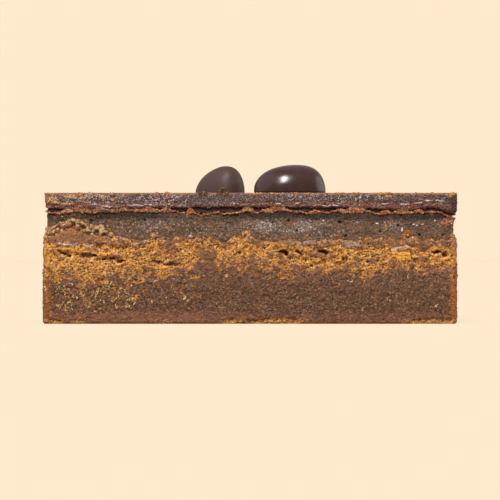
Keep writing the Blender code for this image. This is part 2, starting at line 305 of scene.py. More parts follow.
@dataclass
class Slice:
    """The shape that all layers share: the outline, and the lines where one layer meets the next."""

    corner_radius: float = 1.2 * MM
    steps: tuple[int, ...] = (560, 168, 240, 168, 8)
    cake_top: float = 9.7 * MM
    crumb_top: float = 15.3 * MM
    chocolate_underside: float = 21.3 * MM
    seam: float = 0.3 * MM
    end_dip: float = 1.35 * MM
    end_dip_reach: float = 4.5 * MM
    crust_thickness: float = 0.6 * MM
    fine_line: float = 0.52 * MM
    fudge_setback: tuple[float, float, float] = (0.42 * MM, 0.96 * MM, 0.88 * MM)

    def __post_init__(self) -> None:
        """Takes the slice's size from its solids and works out the lines."""
        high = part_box("cake_base")[1]
        self.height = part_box("chocolate_top")[1].z
        self.outline = Outline(high.x, high.y, self.corner_radius, self.steps)
        outline = self.outline
        width, perimeter = 2 * high.x, outline.perimeter
        clumps = [
            *swells(
                (1.2, 3.4, 2.2), (5.4, 4.8, 4.1), (10.3, 4.4, 2.8), (12.3, 1.5, 0.6), (14.4, 3.4, 0.6),
                (20.5, 1.3, 1.5), (24.6, 0.9, 0.8), (27.4, 1.4, 0.6), (30, 1.5, 0.9), (33.2, 1.2, -0.4),
                (36.2, 2.6, 1.2), (37.6, 1.6, 1.3), (42, 2, -0.3), (59.6, 0.9, 0.3), (61.8, 0.7, 0.5),
                (63.4, 1.3, 0.5), (67, 1.9, 1.2), (71, 0.9, 0.6), (75.4, 1.6, 0.9)
            ),
            *scattered(width, perimeter, 11, (8 * MM, 17 * MM), (2.4 * MM, 5.2 * MM), (0.3 * MM, 2.8 * MM)),
        ]
        droops = [
            *swells(
                (2.2, 3.2, 0.45), (9, 12, 0.2), (29.8, 9, 0.6), (40.5, 6, 0.25), (49, 5, 0.3), (61.8, 6, 0.5),
                (69.6, 3.6, 0.3)
            ),
            *scattered(width, perimeter, 23, (9 * MM, 19 * MM), (4.0 * MM, 8.0 * MM), (0.2 * MM, 0.9 * MM)),
        ]
        ring = outline.ring(0.0, self.crumb_top)
        detail = Noise(101).rough(ring, 1.7 * MM, 3)
        waver = 0.3 * MM * outline.wave(3.4 * MM, 3.5)
        self.cake_line = self.cake_top + 0.55 * MM * outline.wave(7.0 * MM, 1.5)
        self.crumb_line = self.crumb_top + outline.total(clumps) + waver + self.fine_line * detail
        share = ramp(outline.half_width - ring[:, 0], self.end_dip_reach, 0.0)
        waver = 0.14 * MM * outline.wave(2.4 * MM, 9.5)
        self.chocolate_line = self.chocolate_underside - self.end_dip * share + waver
        waver = 0.12 * MM * Noise(102).rough(ring, 2.4 * MM)
        self.fudge_rim = outline.blend(*self.fudge_setback) + waver
        ragged = 0.35 * MM * np.maximum(0.0, 0.5 + 1.4 * outline.wave(1.7 * MM, 5.5))
        self.crust_line = self.chocolate_line - self.seam - outline.total(droops) - ragged


# ---------------- meshes


class Skin:
    """Collects points, faces and masks, and turns them into one closed mesh object."""

    def __init__(self) -> None:
        """Starts with nothing in it."""
        self.points: list[Array] = []
        self.faces: list[list[int]] = []
        self.masks: dict[str, list[Array]] = {}
        self.count = 0

    def add(self, points: Array, masks: dict[str, Array] | None = None) -> Array:
        """Adds points.

        Args:
            points: Any array of points with a last axis of three.
            masks: Values from 0 to 1 for each point, by mask name. A mask left out is 0.

        Returns:
            The new points' indices, shaped like the array.
        """
        shape = points.shape[:-1]
        number = int(np.prod(shape))
        given = masks or {}
        for name in set(self.masks) | set(given):
            column = self.masks.setdefault(name, [np.zeros(self.count)])
            values = given.get(name, np.zeros(shape))
            column.append(np.broadcast_to(values, shape).reshape(-1))
        self.points.append(points.reshape(-1, 3))
        index = np.arange(self.count, self.count + number).reshape(shape)
        self.count += number
        return index

    def wrap(self, index: Array, closed_rows: bool = False) -> None:
        """Joins rows that run round the slice with faces, the lowest row first.

        Args:
            index: Point indices, one row for each ring.
            closed_rows: Whether the last row also joins the first.
        """
        low = index if closed_rows else index[:-1]
        high = np.roll(index, -1, axis=0) if closed_rows else index[1:]
        quads = np.stack([low, np.roll(low, -1, 1), np.roll(high, -1, 1), high], axis=-1)
        self.faces += quads.reshape(-1, 4).tolist()

    def thin_out(self, fine: Array, coarse: Array, upward: bool) -> None:
        """Joins a ring of many points to a ring of few, with triangles.

        Args:
            fine: Indices of the outer ring.
            coarse: Indices of the inner ring, a whole divisor as many.
            upward: Whether the faces look up.
        """
        step = len(fine) // len(coarse)
        after = np.roll(coarse, -1)
        for number in range(step):
            near = fine[number::step]
            far = np.roll(fine, -1)[number::step]
            inner = coarse if number < step // 2 else after
            faces = np.stack([near, far, inner], axis=-1)
            self.faces += (faces if upward else faces[:, ::-1]).tolist()
        middle = np.stack([fine[step // 2 :: step], after, coarse], axis=-1)
        self.faces += (middle if upward else middle[:, ::-1]).tolist()

    def lid(self, ring: Array, upward: bool) -> None:
        """Closes a ring with one flat face."""
        self.faces.append((ring if upward else ring[::-1]).tolist())

    def build(self, name: str, material: bpy.types.Material, smooth: bool = True) -> bpy.types.Object:
        """Makes the mesh object.

        Args:
            name: The piece's name.
            material: Its finish.
            smooth: Whether it is smooth shaded.

        Returns:
            The new object.
        """
        mesh = bpy.data.meshes.new(name)
        mesh.from_pydata(np.concatenate(self.points).tolist(), [], self.faces)
        mesh.validate()
        for mask, parts in self.masks.items():
            values = np.concatenate(parts).astype(np.float32)
            attribute = mesh.attributes.new(mask, "FLOAT", "POINT")
            attribute.data.foreach_set("value", values)
        if smooth:
            mesh.shade_smooth()
        mesh.materials.append(material)
        piece = bpy.data.objects.new(name, mesh)
        bpy.context.scene.collection.objects.link(piece)
        return piece


def close_inside(
    skin: Skin, outline: Outline, edge: Array, heights: Array, level: float, upward: bool
) -> None:
    """Closes a layer over or under, from the rim of its cut face to the level inside.

    Args:
        skin: The layer's skin.
        outline: The slice's outline.
        edge: Indices of the rim.
        heights: Heights of the joint behind the rim.
        level: The height well inside the slice.
        upward: Whether this is the layer's top.
    """
    near_index = skin.add(outline.ring(JOINT_STRIP, heights))
    rows = np.stack([edge, near_index]) if upward else np.stack([near_index, edge])
    skin.wrap(rows)
    far_index = skin.add(outline.ring(JOINT_REACH, level)[::THINNING])
    skin.thin_out(near_index, far_index, upward)
    skin.lid(far_index, upward)


# ---------------- finishes


def linear(code: str) -> tuple[float, float, float, float]:
    """Turns an sRGB hex colour into linear red, green, blue and alpha.

    Args:
        code: A colour such as "#7a5a44".

    Returns:
        Four numbers from 0 to 1.
    """
    parts = [int(code[place : place + 2], 16) / 255 for place in (1, 3, 5)]
    bright = [part / 12.92 if part <= 0.04045 else ((part + 0.055) / 1.055) ** 2.4 for part in parts]
    return (*bright, 1.0)


def add_node(tree: bpy.types.NodeTree, kind: str, inputs: dict | None = None, **settings) -> bpy.types.Node:
    """Adds a node with its settings, and fills or links its inputs.

    Args:
        tree: The node tree.
        kind: The node's type name.
        inputs: Values or output sockets, by the input's name or number.
        settings: The node's own properties.

    Returns:
        The new node.
    """
    node = tree.nodes.new(kind)
    for name, value in settings.items():
        setattr(node, name, value)
    for socket, value in (inputs or {}).items():
        if isinstance(value, bpy.types.NodeSocket):
            tree.links.new(value, node.inputs[socket])
        else:
            node.inputs[socket].default_value = value
    return node


def fresh_tree(owner: bpy.types.Material | bpy.types.World) -> bpy.types.NodeTree:
    """Turns nodes on and clears those that come with them.

    Args:
        owner: A new material or world.

    Returns:
        Its empty node tree.
    """
    owner.use_nodes = True
    owner.node_tree.nodes.clear()
    return owner.node_tree


class Kind(Enum):
    """What a pattern is made of."""

    MASK = "a mask that the mesh carries"
    CLOUDS = "soft uneven noise"
    GRAINS = "one value for each uneven grain"
    DOTS = "round dots, one in each grain"
    BROKEN = "a mask of the mesh, broken up by fine noise"


@dataclass(frozen=True)
class Pattern:
    """A pattern over a surface, from 0 to 1.

    Its size is a real one in metres. Values from low to high become 0 to 1.
    """

    ROUGHNESS = 0.6

    kind: Kind
    size: float = 1.0 * MM
    low: float = 0.0
    high: float = 1.0
    mask: str = ""
    seed: float = 0.0
    detail: float = 2.0
    breaking: float = 1.0

    def socket(self, tree: bpy.types.NodeTree, place: bpy.types.NodeSocket) -> bpy.types.NodeSocket:
        """Adds the pattern's nodes.

        Args:
            tree: The material's node tree.
            place: The coordinates in metres.

        Returns:
            The output that gives the pattern.
        """
        drawn = {"Vector": place, "W": self.seed, "Scale": 1 / self.size}
        cloudy = {**drawn, "Detail": self.detail, "Roughness": self.ROUGHNESS}
        if self.kind in (Kind.MASK, Kind.BROKEN):
            raw = add_node(tree, "ShaderNodeAttribute", attribute_name=self.mask).outputs["Fac"]
        if self.kind is Kind.CLOUDS:
            raw = add_node(tree, "ShaderNodeTexNoise", cloudy, noise_dimensions="4D").outputs["Fac"]
        if self.kind is Kind.BROKEN:
            fine = add_node(tree, "ShaderNodeTexNoise", cloudy, noise_dimensions="4D").outputs["Fac"]
            centred = {0: fine, 1: self.breaking, 2: -self.breaking / 2}
            swing = add_node(tree, "ShaderNodeMath", centred, operation="MULTIPLY_ADD").outputs["Value"]
            raw = add_node(tree, "ShaderNodeMath", {0: raw, 1: swing}, operation="ADD").outputs["Value"]
        if self.kind in (Kind.GRAINS, Kind.DOTS):
            cells = add_node(tree, "ShaderNodeTexVoronoi", drawn, voronoi_dimensions="4D")
            raw = cells.outputs["Distance"]
        if self.kind is Kind.GRAINS:
            split = add_node(tree, "ShaderNodeSeparateColor", {"Color": cells.outputs["Color"]})
            raw = split.outputs["Red"]
        spread = {"Value": raw, "From Min": self.low, "From Max": self.high}
        return add_node(tree, "ShaderNodeMapRange", spread, interpolation_type="SMOOTHSTEP").outputs["Result"]


@dataclass(frozen=True)
class Coat:
    """A colour laid over those beneath it, where its patterns multiplied together are high."""

    colour: str
    patterns: tuple[Pattern, ...]
    amount: float


@dataclass(frozen=True)
class Finish:
    """A surface finish: base colour, coats of colour, gloss and fine relief.

    A gloss pattern comes with what it adds to the roughness, and a relief pattern with the height
    between its low and high places in millimetres.
    """

    name: str
    base: str
    coats: tuple[Coat, ...]
    roughness: float
    gloss_patterns: tuple[tuple[Pattern, float], ...] = ()
    relief: tuple[tuple[Pattern, float], ...] = ()
    ior: float = 1.45
    specular: float = 0.5

    def build(self) -> bpy.types.Material:
        """Makes the material.

        Returns:
            A node-based material with a Principled shader.
        """
        material = bpy.data.materials.new(self.name)
        tree = fresh_tree(material)
        place = add_node(tree, "ShaderNodeTexCoord").outputs["Object"]
        colour = linear(self.base)
        for layer in self.coats:
            share = layer.amount
            for pattern in layer.patterns:
                both = {0: pattern.socket(tree, place), 1: share}
                share = add_node(tree, "ShaderNodeMath", both, operation="MULTIPLY").outputs["Value"]
            mixed = {0: share, 6: colour, 7: linear(layer.colour)}
            colour = add_node(tree, "ShaderNodeMix", mixed, data_type="RGBA").outputs[2]
        rough = self.roughness
        for pattern, change in self.gloss_patterns:
            step = {0: pattern.socket(tree, place), 1: change, 2: rough}
            changed = add_node(tree, "ShaderNodeMath", step, operation="MULTIPLY_ADD", use_clamp=True)
            rough = changed.outputs["Value"]
        shader = {"Base Color": colour, "Roughness": rough, "IOR": self.ior}
        shader["Specular IOR Level"] = self.specular
        normal = None
        for pattern, height in self.relief:
            bumps = {"Height": pattern.socket(tree, place), "Distance": height * MM, "Strength": 1.0}
            if normal is not None:
                bumps["Normal"] = normal
            normal = add_node(tree, "ShaderNodeBump", bumps).outputs["Normal"]
        if normal is not None:
            shader["Normal"] = normal
        principled = add_node(tree, "ShaderNodeBsdfPrincipled", shader)
        add_node(tree, "ShaderNodeOutputMaterial", {"Surface": principled.outputs["BSDF"]})
        return material


def mask(name: str, low: float = 0.0, high: float = 1.0) -> Pattern:
    """Short for a pattern that reads one of the mesh's own masks."""
    return Pattern(Kind.MASK, mask=name, low=low, high=high)


def clouds(size: float, low: float, high: float, seed: float, detail: float = 2.0) -> Pattern:
    """Short for a pattern of soft noise, with its size in millimetres."""
    return Pattern(Kind.CLOUDS, size * MM, low, high, seed=seed, detail=detail)


def broken(name: str, size: float, low: float, high: float, seed: float, breaking: float = 2.0) -> Pattern:
    """Short for a pattern that breaks up one of the mesh's masks with fine noise, its size in millimetres."""
    return Pattern(Kind.BROKEN, size * MM, low, high, mask=name, seed=seed, breaking=breaking, detail=3.0)


def dots(size: float, low: float, high: float, seed: float) -> Pattern:
    """Short for a pattern of round dots, one in each grain of so many millimetres. Low is the greater."""
    return Pattern(Kind.DOTS, size * MM, low, high, seed=seed)


def grains(size: float, low: float, high: float, seed: float) -> Pattern:
    """Short for a pattern with one value for each grain of so many millimetres."""
    return Pattern(Kind.GRAINS, size * MM, low, high, seed=seed)


def coat(colour: str, amount: float, *patterns: Pattern) -> Coat:
    """Short for a coat of colour."""
    return Coat(colour, patterns, amount)


# Golden baked crumb rubbed over a face: toasted grains with a painted highlight on their tops, and
# painted shade in dark orange in the hollows between them, with the same orange along the slice's upright
# ends. The cake and the crumb band share these coats, so that one fades into the other.
GOLD_COATS = (
    coat("#b47446", 0.95, broken("gold", 0.45, 0.24, 0.46, 8)),
    coat("#eaa149", 0.92, broken("gold", 0.32, 0.42, 0.7, 9, 2.6)),
    # Painted shade: dark orange in the hollows; the same orange also runs along the upright ends.
    coat("#b0601a", 0.75, mask("gold", 0.3, 0.7), mask("low_spot"), clouds(0.7, 0.38, 0.58, 10)),
    # Painted highlight: pale yellow on the tops of the grains.
    coat("#ffd688", 0.92, mask("gold", 0.3, 0.8), mask("ridge"), grains(0.24, 0.3, 0.66, 11)),
    coat("#5e3414", 0.75, mask("gold", 0.2, 0.6), dots(0.4, 0.34, 0.16, 16)),
    coat("#feb03a", 0.92, broken("amber", 0.35, 0.4, 0.68, 30, 2.2)),
)

# Baked chocolate blondie, knife cut: dense and fine crumbed, so the face is matt with a faint moist sheen,
# small open pores and paler grains of about a third of a millimetre.
BROWN_CAKE = Finish(
    name="baked_brown_cake",
    base="#754d34",
    coats=(
        coat("#845a3e", 0.6, clouds(1.7, 0.42, 0.66, 1)),
        coat("#8f5a32", 0.5, clouds(1.1, 0.52, 0.7, 19)),
        coat("#96684a", 0.6, mask("warm"), clouds(0.9, 0.3, 0.6, 67)),
        coat("#3a2213", 0.8, clouds(0.36, 0.48, 0.6, 2, 3)),
        coat("#b3906c", 0.66, grains(0.24, 0.72, 0.94, 3), clouds(1.5, 0.3, 0.55, 20)),
        coat("#bd6a26", 0.8, grains(0.45, 0.92, 0.98, 68), clouds(2.4, 0.42, 0.58, 69)),
        coat("#a3694c", 0.75, mask("foot"), clouds(1.0, 0.22, 0.58, 37, 3)),
        coat("#b5641c", 0.9, mask("rim"), clouds(0.6, 0.26, 0.52, 4)),
        *GOLD_COATS,
        # Painted shade in the crevices, holes and pores.
        coat("#2c180b", 0.8, mask("deep")),
    ),
    roughness=0.6,
    gloss_patterns=((clouds(0.5, 0.4, 0.65, 6), -0.16),),
    relief=((clouds(0.3, 0.28, 0.72, 7, 3), 0.26),),
)

# Golden baked crumb, torn and rubbed by the knife: fine toasted grains with painted shade in the crevices
# between them, and smoother patches where fudge is smeared in.
GOLDEN_CRUMB = Finish(
    name="toasted_golden_crumb",
    base="#83593c",
    coats=(
        coat("#9a6c4a", 0.7, clouds(1.2, 0.42, 0.66, 12)),
        coat("#bd8250", 0.82, mask("clump"), clouds(0.9, 0.28, 0.58, 18)),
        coat("#805b40", 0.7, mask("paste"), clouds(0.8, 0.3, 0.6, 38)),
        coat("#4a2e1b", 0.65, clouds(0.34, 0.52, 0.64, 2, 3)),
        *GOLD_COATS,
        coat("#cfac82", 0.9, mask("tan"), clouds(0.4, 0.3, 0.5, 13, 3)),
        # A painted sheen, pale grey-pink, where the crumb is damp with fudge.
        coat("#bfa08c", 0.62, broken("damp", 0.3, 0.42, 0.92, 39, 3)),
        # A painted highlight on the lips of the ledges, along with the dry crumbs that catch there.
        coat("#ecd9d0", 0.85, broken("pale", 0.3, 0.5, 0.8, 17, 2.4)),
        # Painted shade in the crevices, holes and pores.
        coat("#54260f", 0.82, mask("deep")),
    ),
    roughness=0.6,
    gloss_patterns=((mask("gold"), 0.06), (clouds(0.6, 0.4, 0.65, 14), -0.24)),
    relief=((clouds(0.32, 0.25, 0.75, 15, 3), 0.22),),
)

# Moist chocolate fudge, drawn out by the knife: satin, with a pale sheen and granular glints painted where it
# is moist, white glints painted as spots, painted shade under the crust, fine bubbles and a few stray flakes
# of crust.
MOIST_FUDGE = Finish(
    name="moist_fudge",
    base="#70523c",
    coats=(
        coat("#8a6850", 0.6, clouds(2.6, 0.4, 0.7, 21)),
        coat("#4e3b2a", 0.6, clouds(0.6, 0.52, 0.72, 27)),
        coat("#a0643a", 0.85, mask("smear"), clouds(0.8, 0.32, 0.58, 28)),
        coat("#bfa68f", 0.8, mask("grainy"), grains(0.22, 0.78, 0.96, 29)),
        coat("#33271c", 0.7, clouds(0.32, 0.52, 0.64, 36, 3)),
        coat("#2b1b0f", 0.88, mask("shade")),
        # A soft pale painted sheen where the fudge is moist, then painted glints, broken up, over it.
        coat("#927f6e", 0.5, mask("wet", 0.1, 0.8), clouds(0.9, 0.2, 0.55, 70)),
        coat("#d6cbc5", 0.85, broken("wet", 0.26, 0.62, 0.92, 22, 3.4)),
        coat("#98532f", 0.8, broken("flake", 0.3, 0.45, 0.75, 23, 2)),
        # Painted shade in the bubbles, pits and crevices.
        coat("#261e17", 0.9, mask("deep")),
        coat("#f2ede9", 0.95, mask("glint", 0.3, 0.7)),
    ),
    roughness=0.4,
    gloss_patterns=((clouds(0.45, 0.38, 0.66, 24), -0.2),),
    relief=(
        (clouds(0.32, 0.3, 0.7, 25, 3), 0.18),
        (clouds(1.4, 0.3, 0.7, 26), 0.12),
    ),
    specular=0.45,
)

# Papery baked crust: thin, dry and flaky, red-brown with paler broken edges.
PAPERY_CRUST = Finish(
    name="papery_crust",
    base="#ad6545",
    coats=(
        coat("#e0a476", 0.85, clouds(0.42, 0.48, 0.62, 31, 3)),
        coat("#40211a", 0.8, clouds(0.3, 0.5, 0.62, 32, 3)),
        coat("#d9a468", 0.75, mask("edge"), grains(0.24, 0.78, 0.96, 33)),
        # Painted shade in the cracks and in the gap behind the crust's edge.
        coat("#46302a", 0.9, mask("deep")),
    ),
    roughness=0.5,
    relief=((clouds(0.32, 0.3, 0.7, 34, 3), 0.18),),
)

# Crumbs of that crust: red-brown, some toasted golden.
CRUST_CRUMB = Finish(
    name="crust_crumb",
    base="#a65f42",
    coats=(
        coat("#e0ab74", 0.9, mask("tint", 0.5, 0.95)),
        coat("#45241a", 0.9, mask("tint", 0.46, 0)),
    ),
    roughness=0.55,
    relief=((clouds(0.22, 0.3, 0.7, 35, 3), 0.06),),
)

# Set dark chocolate: the poured top is satin, and the face that the knife broke is granular, with fine pale
# specks that are painted glints, pale streaks painted as highlights, painted shade in its crevices and a
# redder lower edge. Its brim is painted orange, partly for crumbs and partly as a painted glow.
DARK_CHOCOLATE = Finish(
    name="set_dark_chocolate",
    base="#5e4138",
    coats=(
        coat("#72524a", 0.55, clouds(1.5, 0.4, 0.7, 41)),
        coat("#945439", 0.85, mask("low"), clouds(0.6, 0.34, 0.56, 44, 3)),
        coat("#7d655c", 0.55, mask("poured"), clouds(7.0, 0.44, 0.7, 50, 4)),
        coat("#4c332b", 0.6, mask("poured"), clouds(11.0, 0.46, 0.7, 57, 3)),
        coat("#3a241e", 0.6, mask("poured"), dots(1.3, 0.1, 0.05, 58)),
        coat("#291a16", 0.85, mask("cut"), clouds(0.3, 0.5, 0.61, 43, 3)),
        # Painted glints: fine pale specks on the broken face.
        coat("#dccfca", 0.92, mask("cut"), mask("speck"), grains(0.2, 0.66, 0.86, 42)),
        # Darker at the right-hand end, which also has few specks.
        coat("#2b1a15", 0.92, mask("smooth")),
        # A painted highlight along the lips of the small ledges.
        coat("#d8cac4", 0.8, broken("streak", 0.3, 0.58, 0.92, 49, 3.2)),
        coat("#d3aa6c", 0.85, broken("dust", 0.4, 0.35, 0.62, 45, 2)),
        # The brim is painted orange: partly crumbs, partly a painted glow of light through its thin edge.
        coat("#bb7238", 0.9, mask("rim"), clouds(0.5, 0.38, 0.58, 40), clouds(2.5, 0.22, 0.58, 56)),
        # Painted shade in the crevices of the broken face.
        coat("#261511", 0.85, mask("deep")),
    ),
    roughness=0.34,
    gloss_patterns=(
        (mask("cut"), 0.08),
        (clouds(0.3, 0.38, 0.66, 46), -0.16),
        (clouds(9.0, 0.36, 0.68, 59, 3), -0.08),
    ),
    relief=(
        (clouds(0.28, 0.3, 0.7, 47, 3), 0.1),
        (clouds(5.0, 0.3, 0.7, 48), 0.1),
    ),
    ior=1.46,
)

# Grains that the knife broke from the chocolate: dull brown, redder or bloomed pale.
CHOCOLATE_GRAIN = Finish(
    name="chocolate_grain",
    base="#5f4039",
    coats=(
        coat("#b09a91", 0.8, mask("tint", 0.66, 1)),
        coat("#7c4530", 0.8, mask("tint", 0.34, 0)),
    ),
    roughness=0.42,
)

# Panned dark chocolate coating, polished: glossy, very slightly dimpled, with a faint bloom.
POLISHED_COATING = Finish(
    name="polished_bean_coating",
    base="#361d18",
    coats=(
        coat("#442822", 0.6, clouds(3.5, 0.4, 0.7, 51)),
        coat("#6e5a50", 0.3, grains(0.25, 0.93, 1, 52), clouds(2.0, 0.45, 0.7, 53)),
    ),
    roughness=0.2,
    gloss_patterns=((clouds(1.8, 0.4, 0.7, 54), 0.04),),
    relief=((clouds(2.6, 0.3, 0.7, 55), 0.015),),
    ior=1.45,
)

# The same coating, dulled where it was rubbed: its sheen is broad and has no bright core.
RUBBED_COATING = replace(POLISHED_COATING, name="rubbed_bean_coating", base="#452b25", roughness=0.52)

# Grains of the dense cake that the knife pulled up: brown, with dry pale ones and dark ones.
CAKE_GRAIN = Finish(
    name="cake_grain",
    base="#6b452d",
    coats=(
        coat("#9c7a5a", 0.75, mask("tint", 0.78, 1)),
        coat("#432816", 0.8, mask("tint", 0.46, 0)),
    ),
    roughness=0.6,
    relief=((clouds(0.22, 0.3, 0.7, 65, 3), 0.06),),
)

# Loose toasted crumbs: dry, matt, golden with some darker ones.
LOOSE_CRUMB = Finish(
    name="loose_toasted_crumb",
    base="#c07c30",
    coats=(
        coat("#e8b25e", 0.85, mask("tint", 0.55, 1)),
        coat("#8c4e18", 0.85, mask("tint", 0.4, 0)),
        coat("#6e4322", 0.55, clouds(0.35, 0.5, 0.72, 61)),
    ),
    roughness=0.68,
    relief=((clouds(0.25, 0.3, 0.7, 62), 0.08),),
)

# Crumbs of the same bake that fudge has stained: tan to brown, with paler dry tops.
STAINED_CRUMB = Finish(
    name="stained_crumb",
    base="#a07450",
    coats=(
        coat("#d8b78a", 0.88, mask("tint", 0.45, 0.95)),
        coat("#5e3d28", 0.85, mask("tint", 0.4, 0)),
        coat("#c07a3c", 0.5, clouds(0.5, 0.52, 0.7, 63)),
    ),
    roughness=0.6,
    relief=((clouds(0.25, 0.3, 0.7, 64), 0.08),),
)

# Curls of golden crumb that the knife rubbed down over the cake: dry and pale, a few toasted.
CURLED_CRUMB = Finish(
    name="curled_crumb",
    base="#cfa56a",
    coats=(
        coat("#e9cf96", 0.8, mask("tint", 0.45, 1)),
        coat("#a8692c", 0.8, mask("tint", 0.25, 0)),
    ),
    roughness=0.65,
    relief=((clouds(0.25, 0.3, 0.7, 66), 0.08),),
)

# Pale paper sweep under and behind the slice.
BACKDROP_TONE = "#ffeacd"


# ---------------- layers


@dataclass(frozen=True)
class Spot:
    """A cavity in the front face or, with a depth below 0, a lump, with half sizes along X and Z.

    It can lean: its middle then moves along X as it goes up.
    """

    x: float
    z: float
    half_x: float
    half_z: float
    depth: float = 0.0
    lean: float = 0.0

    def share(self, points: Array) -> Array:
        """Works out how much of the spot is at each point.

        Args:
            points: Points of the front face.

        Returns:
            1 in the middle of the spot and 0 away from it.
        """
        over = points[..., 2] - self.z
        across = ((points[..., 0] - self.x - self.lean * over) / self.half_x) ** 2
        return np.exp(-((across + (over / self.half_z) ** 2) ** 2))

    def at(self, points: Array) -> Array:
        """Gives the depth of the spot at points of the front face."""
        return self.depth * self.share(points)


Spots = tuple[Spot, ...]


def spots(*rows: tuple[float, ...]) -> Spots:
    """Makes spots from rows of millimetres: X, Z, half sizes along them, depth, and last the lean."""
    return tuple(Spot(*(value * MM for value in row[:5]), *row[5:]) for row in rows)


@dataclass(frozen=True)
class Ledge:
    """A small wavy step on the front face that looks up and catches the light."""

    WAVE = Noise(38)
    STEP = 0.08 * MM
    FADE = (1.2 * MM, 0.1 * MM)
    LIP = (0.17 * MM, 0.05 * MM)

    x: float
    z: float
    half_length: float
    depth: float
    slope: float = 0.0

    def below(self, points: Array) -> Array:
        """Gives how far points lie below the ledge's wavy line."""
        wave = 0.13 * MM * self.WAVE.smooth(points * np.array([1.0, 1.0, 0.0]), 0.7 * MM)
        return self.z + self.slope * (points[..., 0] - self.x) + wave - points[..., 2]

    def window(self, points: Array) -> Array:
        """Gives 1 along the ledge and 0 beyond its ends."""
        return ramp(np.abs(points[..., 0] - self.x), self.half_length, self.half_length * 0.5)

    def at(self, points: Array) -> Array:
        """Gives how far the face stands out below the ledge's line, fading away further down."""
        below = self.below(points)
        return self.depth * self.window(points) * ramp(below, -self.STEP, self.STEP) * ramp(below, *self.FADE)

    def lip(self, points: Array) -> Array:
        """Gives 1 on the lip, painted pale as a highlight and for dry crumbs there, and 0 away from it."""
        return self.window(points) * ramp(np.abs(self.below(points)), *self.LIP)


Ledges = tuple[Ledge, ...]


def ledges(*rows: tuple[float, ...]) -> Ledges:
    """Makes ledges from rows of millimetres: X, Z, half length, depth, and last the slope."""
    return tuple(Ledge(*(value * MM for value in row[:4]), *row[4:]) for row in rows)


def front_sum(outline: Outline, points: Array, shapes: Sequence, value: Callable[..., Array]) -> Array:
    """Adds up what a method of spots or ledges gives for points of the front face, and gives 0 elsewhere."""
    total = sum(value(shape, points) for shape in shapes)
    return np.where(outline.front, total, 0.0)


def relative(depth: Array, reach: int = 2) -> Array:
    """Compares each point of a face with the points round it.

    Args:
        depth: The hollow at each point, in rows round the slice.
        reach: How many points away the neighbours lie.

    Returns:
        How much deeper than its neighbours each point is.
    """
    padded = np.pad(depth, ((reach, reach), (0, 0)), mode="edge")
    rows = len(depth)
    blurred = sum(padded[shift : shift + rows] for shift in range(2 * reach + 1)) / (2 * reach + 1)
    blurred = sum(np.roll(blurred, shift, axis=1) for shift in range(-reach, reach + 1)) / (2 * reach + 1)
    return depth - blurred


